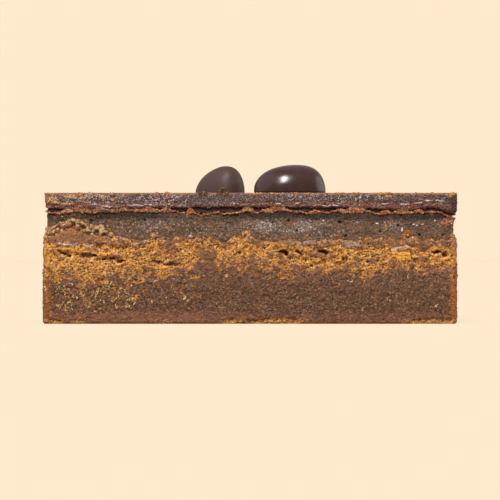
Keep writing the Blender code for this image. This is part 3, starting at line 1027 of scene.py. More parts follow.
@dataclass
class CutFace:
    """How the cake's and the crumb's cut face is broken up. Both layers share it, so they join."""

    shape: Slice
    cake_depth: float = 0.45 * MM
    crumb_depth: float = 0.95 * MM
    lump: float = 1.05 * MM
    small_lump: float = 0.46 * MM
    knob: float = 0.82 * MM
    patch: float = 3.4 * MM
    tuft: float = 1.3 * MM
    fleck: float = 0.8 * MM
    puff: float = 1.9 * MM
    swell: float = 2.6 * MM
    grain: float = 0.9 * MM
    end_rim: float = 1.5 * MM
    gold_foot: float = 9.9 * MM
    sparse: float = 0.02
    gold_falls: Swells = swells(
        (1.5, 4, -0.8), (8, 4, -1.2), (11.5, 15, -1.35), (22, 3, -0.8), (31, 7, 1.5), (38.4, 2.6, 1),
        (45, 2.8, -1), (58.6, 2.6, -1.4), (65, 2.4, 0.8), (69.8, 1.8, -0.7), (98, 12, -1.2), (150, 16, -1.6),
        (212, 10, -1), (240, 12, -1.8)
    )
    # Swells run along the outline. The spots lie on the front face: pits that crumbs have left, lumps that
    # stand out, grains that glow amber, and places where fudge is smeared in as a paste.
    golden_ends: Swells = swells((0.6, 1.6, 0.16), (75.4, 1.2, 0.1), unit=1.0)
    smears: Swells = swells(
        (8, 14, 0.12), (24, 7, 0.06), (98, 12, 0.15), (150, 16, 0.2), (212, 10, 0.15), (246, 14, 0.2),
        unit=1.0
    )
    flecked: Swells = swells(
        (8, 12, 0.85), (17, 4, 0.25), (26, 10, 0.1), (60, 16, 0.08), (98, 12, 0.5), (150, 16, 0.6),
        (212, 10, 0.4), (246, 14, 0.8), unit=1.0
    )
    pits: Spots = spots(
        (6.2, 13.15, 0.8, 0.36, 1.3), (6.7, 12.85, 0.35, 0.3, 1), (8.6, 13.25, 0.3, 0.25, 0.9),
        (9.2, 13, 0.28, 0.5, 1.1, -1), (13.4, 13.1, 0.8, 0.36, 1.3), (13.9, 12.85, 0.35, 0.3, 1),
        (-35, 13.2, 0.45, 0.16, 0.8), (-34.2, 12.85, 0.35, 0.25, 0.9, -1.2), (-33.1, 12.5, 0.5, 0.22, 0.9),
        (-30, 12.45, 1.3, 0.5, 0.75), (-28.4, 12.4, 0.42, 0.26, 1.1), (-26.7, 11.9, 0.35, 0.24, 1),
        (-25.3, 11.85, 0.55, 0.14, 0.8), (-23.7, 11.45, 0.7, 0.26, 1), (34.2, 13.15, 0.8, 0.22, 0.9),
        (35.5, 12.55, 0.7, 0.42, 0.8), (17, 11.9, 0.28, 0.35, 0.6), (21.4, 11.3, 0.28, 0.4, 0.6),
        (11.1, 10.7, 0.3, 0.25, 0.5), (-17.2, 11.3, 1.1, 0.3, 0.5), (-14.6, 10.9, 0.9, 0.3, 0.5),
        (-1.9, 12.9, 0.4, 0.22, 0.6), (30.2, 11.6, 0.45, 0.35, 0.5)
    )
    lumps: Spots = spots(
        (-24.8, 12.6, 1.7, 0.6, -0.4), (-31.9, 12.9, 0.5, 0.35, -0.2), (-27.5, 12.5, 0.4, 0.6, -0.3),
        (-15.8, 9.9, 1.2, 0.9, -0.4), (-19, 11.2, 2.6, 0.8, -0.1), (-33.6, 13.6, 3.2, 0.45, -0.15),
        (-34, 11.4, 3.6, 0.7, -0.05), (-27, 10.6, 3.4, 0.6, -0.05), (-17.9, 13.5, 1.8, 0.85, -0.12),
        (-12.8, 14.8, 0.6, 0.85, -0.15), (-8.4, 14.8, 1.7, 0.4, -0.1), (-4, 13.1, 1.2, 0.8, -0.1),
        (0, 13.5, 1.5, 1, -0.12), (-2.4, 15.5, 1.8, 1.3, -0.2), (3.6, 14, 1.2, 0.5, -0.08),
        (10.2, 13.6, 1.1, 0.5, -0.2), (10.3, 12.1, 0.5, 0.45, -0.2), (13.1, 11, 1.5, 0.7, -0.06),
        (17.4, 12.8, 0.5, 0.45, -0.2), (16.1, 11.5, 0.6, 0.35, -0.15), (20.6, 12.6, 2.6, 1, -0.08),
        (27.6, 12.2, 2, 1, -0.3), (36.2, 11.5, 1.6, 0.6, -0.15), (33.6, 13.6, 0.9, 0.28, -0.12),
        (32, 12, 0.9, 0.8, -0.08), (24.9, 11.3, 0.8, 0.7, -0.05), (29.2, 15.2, 0.9, 0.8, -0.15),
        (-17.7, 16.2, 0.8, 0.6, -0.12), (5.8, 9, 0.7, 0.9, -0.1), (7.8, 9.3, 0.8, 1, -0.1),
        (-25.6, 11.1, 1.9, 0.8, -0.12), (35.6, 13.7, 1.2, 0.45, -0.1), (-22, 14.8, 1.6, 0.6, -0.12),
        (3.6, 14.8, 1.4, 0.5, -0.1), (18.2, 13.2, 1.2, 0.8, -0.1), (14.6, 13.7, 1.3, 0.45, -0.08),
        (29.2, 11.6, 1.4, 0.5, -0.08), (-29.6, 8.5, 1.4, 0.9, -0.12), (-27, 7.8, 1, 0.45, -0.12),
        (-24, 6.4, 1.4, 0.2, -0.15), (-20.8, 7.9, 1.5, 0.4, -0.1), (-26.6, 7.7, 0.5, 0.35, -0.1),
        (-35.2, 8, 0.7, 0.5, -0.08), (-10, 8.5, 0.8, 0.28, -0.12), (-21, 4.8, 0.8, 0.5, -0.08)
    )
    amber: Spots = spots(
        (27.5, 12.9, 2, 0.33), (27, 12.2, 1.5, 0.28), (29.2, 12.2, 0.35, 0.6), (-33.2, 13.65, 2.6, 0.3),
        (-31.4, 13.2, 2.2, 0.22), (-26.6, 12.8, 1, 0.35), (-11.6, 14.6, 0.5, 0.3), (9.9, 12.2, 0.28, 0.22),
        (17.3, 12.9, 0.45, 0.35), (16.2, 11.5, 0.5, 0.22), (35.8, 11.9, 1.2, 0.22), (34, 13.55, 0.9, 0.18),
        (-26.5, 5.7, 0.4, 0.2), (-4.2, 8.9, 0.4, 0.3), (-15.8, 10.3, 0.6, 0.4), (-0.4, 13.6, 0.4, 0.6),
        (-37.4, 15.9, 0.5, 0.25)
    )
    pastes: Spots = spots(
        (-14.6, 13.9, 1.6, 1.3), (-7.7, 12.8, 2.2, 1.1), (-14.4, 11.3, 1.9, 0.45), (-8.2, 10.6, 2.6, 1),
        (-2.6, 11.3, 1.7, 0.8), (7.3, 15.3, 2.8, 0.5), (14.6, 14.4, 1.6, 0.35), (19.2, 14.1, 1.8, 0.6),
        (27.4, 14.8, 2.6, 0.7), (32, 14.1, 1.8, 0.7), (2.2, 11.3, 1.5, 0.8), (-32.4, 16.2, 2.2, 1.1),
        (-29.2, 16.2, 1.7, 0.9), (-35.6, 15.2, 1, 0.45), (-33.4, 14.9, 1.9, 0.45), (29.4, 14.9, 2, 0.6),
        (-24, 14.9, 2, 0.9), (24.6, 14.5, 1.6, 0.6), (-30, 12.45, 1.4, 0.5), (6, 11.6, 1.4, 0.6),
        (13.6, 12.3, 1.2, 0.6), (19.6, 11.7, 1.1, 0.8), (25.8, 11.2, 1.3, 0.7), (11, 14.8, 1.6, 0.5),
        (31.4, 11.9, 1.6, 0.6), (-20.6, 12.9, 0.7, 0.5), (-31, 14.9, 3.6, 0.75), (-27, 15.3, 1.6, 0.9),
        (-24.7, 12.5, 1.4, 0.55), (0.4, 12.4, 1.5, 0.5), (4.2, 12.6, 1.1, 0.45), (7.8, 12.5, 1.5, 0.4),
        (11.8, 12.7, 1.4, 0.4), (8.6, 10.2, 1.6, 0.9), (35.6, 14.9, 1.6, 0.6), (-0.2, 15, 1.2, 0.35),
        (0.2, 11.6, 1.2, 0.6), (-18.6, 10.2, 1.6, 0.6), (35.6, 9.3, 1.4, 0.8), (-7.6, 13.7, 1.6, 0.5),
        (14.6, 12.5, 1.2, 0.45), (7, 9.3, 1.5, 0.6), (-20, 14.8, 0.8, 0.4)
    )
    tan_lumps: Spots = spots(
        (-35.1, 18.2, 0.5, 0.45, -0.4), (-33.1, 19.1, 0.95, 0.42, -0.5), (-30.8, 18.5, 0.55, 0.4, -0.4),
        (-28.9, 17.9, 0.5, 0.55, -0.4), (-29.9, 17.1, 0.7, 0.4, -0.3), (-26.7, 17.2, 1.1, 0.6, -0.4),
        (-24, 16, 0.5, 0.32, -0.3), (-20.7, 15.7, 0.5, 0.3, -0.3)
    )
    caves: Spots = spots((-30, 12.45, 1.3, 0.5), (-17.2, 11.3, 1.1, 0.3))
    # Places where the crumb is damp with fudge and gets a painted sheen.
    damp: Spots = spots(
        (9.4, 14.9, 3.6, 0.75), (18.6, 14.6, 2.4, 0.6), (27.6, 13.95, 1.7, 0.32),
        (-32.4, 14.6, 2.2, 0.2, 0, -0.1), (-21, 14.6, 0.8, 0.25)
    )
    foot_rubs: Swells = swells(
        (2, 3, 0.8), (6.9, 2, 0.6), (22.4, 2.2, 0.5), (35, 3.4, 1.2), (42.5, 8, 1.3), (70, 7, 1.1),
        (75.4, 2.4, 1.6), (110, 14, 0.7), (165, 12, 0.7), (225, 14, 0.7), unit=1.0
    )
    ledges: Ledges = ledges(
        (-33.4, 14.5, 2.6, 0.35, -0.14), (-29.6, 14.4, 1.3, 0.25), (27, 13.8, 1.8, 0.35, 0.3),
        (29, 14.1, 1.2, 0.3, -0.45)
    )

    def __post_init__(self) -> None:
        """Sets up the noises."""
        self.coarse, self.medium, self.fine = Noise(1), Noise(2), Noise(3)

    def warped(self, points: Array) -> Array:
        """Bends space a little, so that grains aren't round."""
        bend = [self.coarse.smooth(points + place * 9.0 * MM, 1.1 * MM) for place in (1, 2, 3)]
        return points + 0.3 * MM * np.stack(bend, axis=-1)

    def sum_of(self, points: Array, chosen: Sequence[Spot]) -> Array:
        """Gives how far points of the front face lie in any of the chosen spots, from 0 to 1."""
        return np.clip(front_sum(self.shape.outline, self.warped(points), chosen, Spot.share), 0, 1)

    def clump(self, points: Array) -> Array:
        """Tells the clumps that climb over the fudge from the band below them.

        Args:
            points: Points of the plain face.

        Returns:
            1 in the clumps and 0 in the band.
        """
        wander = 0.6 * self.medium.rough(points + 0.01, 1.6 * MM)
        wander = wander + 0.5 * self.coarse.rough(points + 0.02, 6.0 * MM)
        lift = points[..., 2] + MM * wander
        return ramp(lift, self.shape.crumb_top - 0.6 * MM, self.shape.crumb_top + 0.6 * MM)

    def crest(self, points: Array) -> Array:
        """Gives 1 along the top of the clumps, where they are knobbly and dry."""
        return self.clump(points) * ramp(self.shape.crumb_line - points[..., 2], 2.7 * MM, 1.1 * MM)

    def golden(self, points: Array) -> Array:
        """Works out how much of the face is golden crumb, from 0 to 1, before it breaks up into grains.

        Args:
            points: Points of the plain face, in rows round the slice.

        Returns:
            The share at each point.
        """
        outline = self.shape.outline
        height = points[..., 2]
        rise = height - self.gold_foot - outline.total(self.gold_falls)
        patches = self.coarse.rough(points + 0.03, self.patch)
        tufts = self.medium.rough(points + 0.05, self.tuft)
        flecks = self.fine.rough(points + 0.04, self.fleck, 2)
        # The band fades out downwards in tufts, and is browner again right under its top.
        share = ramp(rise + MM * (0.9 * patches + 1.9 * tufts + 0.7 * flecks), -1.7 * MM, 2.0 * MM)
        under_top = self.shape.crumb_line - height
        tufted = under_top + MM * (0.4 * patches + 1.2 * tufts)
        share = 0.88 * share * (0.2 + 0.8 * ramp(tufted, 0.2 * MM, 1.7 * MM))
        # Lumps stand out golden, and fudge is smeared in as a brown paste between them.
        lumpy, pasted = self.sum_of(points, self.lumps), self.sum_of(points, self.pastes)
        paste = ramp(self.medium.rough(points + 0.02, 2.0 * MM), 0.02, 0.3) * (1 - lumpy)
        paste = np.maximum(0.8 * paste, pasted)
        share = np.maximum(share, 1.1 * lumpy)
        share = share * (1 - 0.74 * paste)
        clump = self.clump(points)
        body = 0.33 + 0.24 * tufts + 0.2 * self.crest(points) + outline.total(self.golden_ends)
        share = share * (1 - clump) + clump * body * (1 - 0.6 * pasted)
        # The knife rubbed gold over the cake, most of it at the upright edges and along the foot.
        rubbed = outline.total(self.smears) * ramp(height, 1.6 * MM, 5.0 * MM) * ramp(patches, -0.5, 0.3)
        corner = ramp(np.abs(points[..., 0]), outline.half_width - 1.6 * MM, outline.half_width - 0.5 * MM)
        most = np.where(points[..., 0] < 0, 0.22, 0.42) * outline.front
        rubbed = np.maximum(rubbed, most * corner * ramp(patches + 0.5 * tufts, -0.6, 0.3))
        foot = outline.total(self.foot_rubs) * ramp(height + 0.3 * MM * patches, 1.3 * MM, 0.45 * MM)
        rubbed = np.maximum(rubbed, foot)
        return np.clip(np.maximum(share, rubbed) + self.sparse, 0, 1)

    def hollow(self, points: Array) -> tuple[Array, dict[str, Array]]:
        """Works out how far the face is broken inwards, and the masks that go with it.

        Args:
            points: Points of the plain face, in rows round the slice.

        Returns:
            The depth of the hollow at each point, and the masks by name.
        """
        outline = self.shape.outline
        warped = self.warped(points)
        share = self.golden(points)
        amber = self.sum_of(points, self.amber)
        clump, crest = self.clump(points), self.crest(points)
        crumbly = ramp(share, 0.1, 0.75)
        # Relief of the crumb: round grains with pores between them, over broader puffs and swells.
        middle, _, value = self.medium.grains(warped, self.lump)
        small_middle, small_wall, small_value = self.fine.grains(warped, self.small_lump)
        pore = ramp(small_wall, 0.05, 0.42) * (0.4 + 0.6 * small_value)
        lump = dome(middle) * (0.55 + 0.6 * value)
        small_lump = dome(small_middle) * (0.5 + small_value)
        puffs = np.abs(self.medium.smooth(warped, self.puff))
        puffs = puffs + 0.5 * np.abs(self.fine.smooth(warped, self.fleck))
        swell = self.coarse.rough(points, self.swell)
        crumb = 0.62 - 0.34 * lump + 0.4 * pore - 0.35 * puffs + 0.45 * swell
        # The clumps are smooth with paste below, and knobbly along their crests.
        knob_middle, _, knob_value = self.coarse.grains(warped, self.knob)
        knob = dome(knob_middle, 0.66) * (0.55 + 0.6 * knob_value)
        paste_relief = 0.42 + 0.3 * swell + 0.14 * self.medium.rough(warped, self.grain) - 0.16 * small_lump
        knobbly = 0.78 - 0.95 * knob + 0.12 * self.fine.smooth(warped, 0.5 * MM)
        crumb = crumb * (1 - clump) + clump * (paste_relief * (1 - crest) + knobbly * crest)
        # The cake is fine grained, with faint level lines where the knife dragged.
        drag = self.medium.smooth(points * np.array([0.25, 0.25, 1.0]), 0.55 * MM)
        cake = 0.5 - 0.3 * small_lump + 0.38 * self.medium.rough(points, self.grain) + 0.04 * drag
        # Pits, lumps and ledges come on top of both, and the upright edges at the front stay nearly whole.
        pits = front_sum(outline, warped, self.pits, Spot.at)
        shelves = front_sum(outline, points, self.ledges, Ledge.at)
        pits = pits + front_sum(outline, warped, (*self.lumps, *self.tan_lumps), Spot.at)
        crumbly = np.maximum(crumbly, clump)
        depth = self.crumb_depth * np.clip(crumb, 0, 1.1) * crumbly * (1 - 0.55 * amber)
        depth = depth + self.cake_depth * np.clip(cake, 0, 1) * (1 - crumbly)
        pores = ramp(small_value, 0.88, 0.96) * ramp(small_middle, 0.42, 0.2) * (1 - crumbly)
        speckle = 0.36 * (small_value - 0.5) + 0.3 * (value - 0.5) + 0.4 * self.fine.rough(points, 1.0 * MM)
        gold = np.clip(share + speckle, 0, 1) * ramp(share, 0.0, 0.08)
        depth = depth + pits - shelves + 0.2 * MM * pores - 0.08 * MM * gold * (1 - crumbly)
        end = outline.half_width
        at_end = ramp(np.abs(points[..., 0]), end - self.end_rim, end - 0.2 * MM)
        forward = ramp(points[..., 1], 5.0 * MM - outline.half_depth, -outline.half_depth)
        depth = depth * (1 - 0.6 * at_end * forward)
        against = relative(depth)
        tall = ramp(self.shape.crumb_line - self.shape.crumb_top, 0.8 * MM, 1.6 * MM)
        tan_lumps = self.sum_of(points, self.tan_lumps)
        gold = gold * (1 - 0.9 * self.sum_of(points, self.caves))
        # Painted shade: crevices, holes, pores and the pockets between the knobs are darkened in colour.
        crevices = ramp(against, 0.06 * MM, 0.26 * MM) * (0.35 + 0.55 * crumbly)
        holes = ramp(depth, 0.8 * MM, 1.3 * MM) * crumbly
        deep = 0.65 * crest * ramp(knob, 0.22, 0.0) + crevices + holes + 0.8 * pores
        masks = {
            "gold": gold,
            "amber": amber,
            "tan": np.clip(0.7 * tall * crest * ramp(knob, 0.1, 0.55) + tan_lumps, 0, 1),
            "paste": np.maximum(clump, ramp(depth, 0.5 * MM, 0.8 * MM)) * self.sum_of(points, self.pastes),
            # Painted sheen where the crumb is damp.
            "damp": self.sum_of(points, self.damp),
            # A painted highlight on the grains' tops, and painted shade in the hollows, with orange along the
            # upright ends.
            "ridge": ramp(against, -0.01 * MM, -0.1 * MM) * (1 - 0.7 * at_end),
            "low_spot": np.maximum(ramp(against, 0.0, 0.08 * MM), 0.7 * at_end),
            # A painted highlight, with dry crumbs, on the ledges' lips.
            "pale": front_sum(outline, points, self.ledges, Ledge.lip),
            "deep": np.clip(deep, 0, 1),
        }
        return depth, masks


@dataclass
class CakeBase:
    """The dense brown cake, with golden flecks rubbed over it."""

    shape: Slice
    face: CutFace
    rows: int = 74
    foot: float = 0.35 * MM
    foot_height: float = 2.1 * MM
    underside_rings: tuple[float, ...] = (2.0 * MM, 8.0 * MM, 16.0 * MM, 24.0 * MM)
    pressed: Swells = swells(
        (18, 26, 0.65), (60, 14, 0.15), (100, 20, 0.4), (160, 30, 0.4), (230, 30, 0.5), unit=1.0
    )

    def build(self) -> bpy.types.Object:
        """Builds and dresses the cake.

        Returns:
            The piece.
        """
        shape, outline = self.shape, self.shape.outline
        share = np.linspace(0, 1, self.rows)[:, None]
        height = share * shape.cake_line
        foot = self.foot * ramp(height, 0.45 * MM, 0.0)
        plain = outline.ring(foot, height)
        hollow, masks = self.face.hollow(plain)
        settled = ramp(height, 0.0, 0.5 * MM)
        self.points = outline.ring(np.maximum(foot + hollow * (0.35 + 0.65 * settled), 0), height)
        self.gold = masks["gold"] * settled
        self.flecked = outline.total(self.face.flecked) * ramp(Noise(5).rough(plain, 1.8 * MM), -0.15, 0.3)
        self.flecked = self.flecked * ramp(height, 2.0 * MM, 3.2 * MM)
        near_x, near_y = (
            ramp(np.abs(plain[..., axis]), half - 2.4 * MM, half - 0.2 * MM)
            for axis, half in enumerate((outline.half_width, outline.half_depth))
        )
        corner = near_x * near_y * (1 + 0.9 * Noise(7).rough(plain, 1.6 * MM)) * outline.blend(1.0, 0.3, 1.0)
        corner = corner * np.where(plain[..., 1] < 0, 1.0, 0.3)
        masks["rim"] = np.clip(1.1 * corner + ramp(height, 0.75 * MM, 0.1 * MM), 0, 1)
        wander = 0.4 * Noise(4).smooth(plain, 9.0 * MM) + 0.25 * Noise(6).rough(plain, 2.5 * MM)
        foot_line = self.foot_height + MM * wander
        pressed = 0.35 + outline.total(self.pressed)
        masks["warm"] = ramp(height, 6.0 * MM, 8.6 * MM)
        masks["foot"] = ramp(height, foot_line + 0.7 * MM, foot_line - 0.6 * MM) * pressed
        # The painted shade fades out near the underside.
        masks["deep"] = masks["deep"] * ramp(height, 0.4 * MM, 1.2 * MM)
        skin = Skin()
        index = skin.add(self.points, masks)
        skin.wrap(index)
        close_inside(skin, outline, index[-1], shape.cake_line, shape.cake_top, True)
        self.underside(skin, index[0])
        return skin.build("cake_crumb", BROWN_CAKE.build())

    def underside(self, skin: Skin, edge: Array) -> None:
        """Closes the flat underside with rings that run in to the middle.

        Args:
            skin: The cake's skin.
            edge: Indices of its lowest ring.
        """
        outline = self.shape.outline
        coarse = None
        for inset in self.underside_rings:
            ring = skin.add(outline.ring(inset, 0.0)[::THINNING])
            if coarse is None:
                skin.thin_out(edge, ring, False)
            else:
                skin.wrap(np.stack([ring, coarse]))
            coarse = ring
        skin.lid(coarse, False)


@dataclass
class CrumbBand:
    """The golden crumb layer, with clumps smeared up over the fudge."""

    shape: Slice
    face: CutFace
    rows: int = 46
    rim_reach: float = 0.8 * MM

    def build(self) -> bpy.types.Object:
        """Builds and dresses the crumb layer.

        Returns:
            The piece.
        """
        shape, outline = self.shape, self.shape.outline
        share = np.linspace(0, 1, self.rows)[:, None]
        height = shape.cake_line + share * (shape.crumb_line - shape.cake_line)
        plain = outline.ring(0.0, height)
        hollow, masks = self.face.hollow(plain)
        under_rim = (shape.crumb_line - height) / self.rim_reach
        turn_in = 1 - np.sqrt(np.clip(1 - np.clip(1 - under_rim, 0, 1) ** 2, 0, 1))
        inset = np.maximum(hollow, 0) * (1 - turn_in) + shape.fudge_rim * turn_in
        self.points = outline.ring(inset, height)
        self.gold = masks["gold"]
        self.clump = masks["clump"] = self.face.clump(plain)
        self.crest = self.face.crest(plain)
        skin = Skin()
        index = skin.add(self.points, masks)
        skin.wrap(index)
        close_inside(skin, outline, index[-1], shape.crumb_line, shape.crumb_top, True)
        close_inside(skin, outline, index[0], shape.cake_line, shape.cake_top, False)
        return skin.build("golden_crumb", GOLDEN_CRUMB.build())


@dataclass
class FudgeLayer:
    """The moist fudge, set back between the layers, with a groove under the crust."""

    shape: Slice
    rows: int = 36
    groove_depth: float = 0.24 * MM
    wet_sheen_height: float = 2.7 * MM
    bubbles: Spots = spots(
        (16.4, 18.6, 0.32, 0.26, 0.5), (17.5, 16.1, 0.22, 0.22, 0.5), (23.8, 16.9, 0.2, 0.2, 0.4),
        (31, 16.3, 0.24, 0.24, 0.5), (-29, 18.9, 0.28, 0.2, 0.4), (-19.2, 19, 0.24, 0.24, 0.4),
        (8.6, 17, 0.22, 0.2, 0.4), (35.3, 16.2, 0.2, 0.2, 0.4)
    )
    flakes: Spots = spots(
        (7.9, 18.7, 0.9, 0.25), (-14.9, 15.9, 0.8, 0.15), (16.2, 15.4, 1, 0.3), (25.3, 18.4, 0.5, 0.2),
        (-25.7, 18.6, 0.22, 0.22), (6.9, 18.2, 0.4, 0.2), (19.7, 17.6, 0.4, 0.3), (35.8, 18.6, 1.2, 0.65),
        (37, 19.4, 0.8, 0.7), (-15, 17.6, 0.5, 0.2)
    )
    glints: Spots = spots(
        (27.8, 17.25, 0.14, 0.45), (23.2, 18.4, 0.4, 0.12), (29.9, 18.2, 0.28, 0.12), (30.5, 18, 0.2, 0.14),
        (31.6, 18.2, 0.28, 0.12), (33.8, 18.9, 0.2, 0.12), (35, 18.6, 0.2, 0.1), (24.6, 18.6, 0.24, 0.1),
        (13.4, 18.9, 0.3, 0.1), (19.6, 18.6, 0.22, 0.1)
    )
    tufts: Spots = spots(
        (-17.5, 16, 0.5, 0.8), (-12.7, 15.4, 0.35, 0.6), (-8, 15.6, 0.9, 0.5), (-15.3, 17.6, 0.35, 0.16),
        (-1.4, 16, 0.4, 1.3, 0, 1.3), (25.2, 15.3, 0.8, 0.4), (28.6, 16.2, 0.8, 0.7, 0, 0.5),
        (24.8, 17.6, 0.2, 0.5), (21.5, 15.6, 0.4, 0.3), (37.2, 15.8, 0.5, 0.7), (10.4, 15.6, 0.6, 0.25),
        (-25.7, 18.6, 0.15, 0.15)
    )
    lit: Swells = swells((5, 5, 0.4), (28, 11, 0.55), (60, 8, 0.3), (75, 3, 0.4), unit=1.0)
    stained: Swells = swells(
        (20, 7, 0.35), (44, 5, 0.5), (70, 5, 0.25), (75.4, 3, 0.6), (100, 14, 0.5), (150, 16, 0.5),
        (212, 10, 0.5), (246, 14, 0.5), unit=1.0
    )
    grainy: Swells = swells(
        (24, 22, 0.7), (48, 16, 0.6), (100, 20, 0.5), (150, 30, 0.5), (215, 30, 0.5), unit=1.0
    )
    # Where the painted sheen of the moist fudge lies: two soaked spots, and zones along the outline at one
    # height.
    soaked_sheen: Spots = spots((7.6, 16.9, 2.4, 0.55), (10.6, 15.9, 1.6, 0.4))
    wet_sheen_zones: Swells = swells(
        (21, 8, 0.38), (40.6, 6.4, 0.68), (48.4, 4.6, 0.62), (64, 4.5, 0.5), (100, 14, 0.8), (150, 16, 0.9),
        (188, 12, 0.7), (230, 14, 0.9), unit=1.0
    )

    def build(self) -> bpy.types.Object:
        """Builds and dresses the fudge.

        Returns:
            The piece.
        """
        shape, outline = self.shape, self.shape.outline
        top_line = shape.crust_line - shape.crust_thickness * 0.6
        share = np.linspace(0, 1, self.rows)[:, None]
        height = shape.crumb_line + share * (top_line - shape.crumb_line)
        under_crust = top_line - height
        over_crumb = height - shape.crumb_line
        groove = self.groove_depth * ramp(under_crust, 0.6 * MM, 0.2 * MM)
        inset = shape.fudge_rim + groove
        plain = outline.ring(inset, height)
        broad, medium, fine = Noise(12), Noise(13), Noise(15)
        roll = broad.rough(plain, 4.5 * MM)
        grain = medium.rough(plain, 0.9 * MM, 2)
        middle, _, value = fine.grains(plain, 0.42 * MM)
        lump = dome(middle) * (0.4 + value)
        far, _, chosen = medium.grains(plain, 1.5 * MM)
        bubble = ramp(chosen, 0.9, 0.96) * ramp(far, 0.24, 0.1)
        pits = front_sum(outline, plain, self.bubbles, Spot.at)
        relief = 0.26 * MM * roll + 0.18 * MM * grain - 0.12 * MM * lump + 0.3 * MM * bubble + pits
        free = ramp(over_crumb, 0.0, 0.5 * MM)
        points = outline.ring(inset + relief * free, height)
        level = height - (shape.crumb_top + self.wet_sheen_height)
        zone = ramp(np.abs(level + 0.6 * MM * roll), 2.0 * MM, 0.3 * MM)
        _, _, flake_value = Noise(14).grains(plain, 0.7 * MM)
        flakes = front_sum(outline, plain, self.flakes, Spot.share)
        against = relative(relief)
        stained = np.clip(0.18 + outline.total(self.stained), 0, 1)
        ends = 0.5 * ramp(np.abs(outline.out[:, 0]), 0.0, 0.3)
        ends = ends * ramp(broad.rough(plain + 0.03, 3.0 * MM), -0.4, 0.2)
        soaked_sheen = 0.4 * front_sum(outline, plain, self.soaked_sheen, Spot.share)
        # Painted shade in the bubbles, pits and crevices.
        holes = bubble + ramp(pits, 0.08 * MM, 0.3 * MM)
        masks = {
            "shade": ramp(under_crust + 0.3 * MM * roll, 2.1 * MM, 0.4 * MM) * (1 - outline.total(self.lit)),
            "smear": np.maximum(ramp(over_crumb + 0.6 * MM * grain, 1.9 * MM, 0.2 * MM) * stained, ends),
            # The painted sheen and glints where the fudge is moist.
            "wet": np.clip(outline.total(self.wet_sheen_zones) * zone + soaked_sheen, 0, 1),
            "flake": np.clip(0.6 * ramp(flake_value, 0.95, 0.97) + flakes, 0, 1),
            "grainy": np.clip(0.3 + outline.total(self.grainy), 0, 1),
            "glint": front_sum(outline, plain, self.glints, Spot.share),
            "deep": np.clip(holes + 0.7 * ramp(against, 0.03 * MM, 0.14 * MM), 0, 1),
        }
        self.points = points
        tufts = front_sum(outline, plain, self.tufts, Spot.share)
        self.flaked = flakes * ramp(plain[..., 0], 30.0 * MM, 34.0 * MM)
        smeared = 0.05 * masks["smear"] * ramp(medium.rough(plain + 0.06, 1.6 * MM), 0.0, 0.3)
        self.lifted = smeared + tufts
        skin = Skin()
        index = skin.add(points, masks)
        skin.wrap(index)
        under_crust = shape.chocolate_underside - shape.crust_thickness
        close_inside(skin, outline, index[-1], top_line, under_crust, True)
        close_inside(skin, outline, index[0], shape.crumb_line, shape.crumb_top, False)
        return skin.build("fudge", MOIST_FUDGE.build())


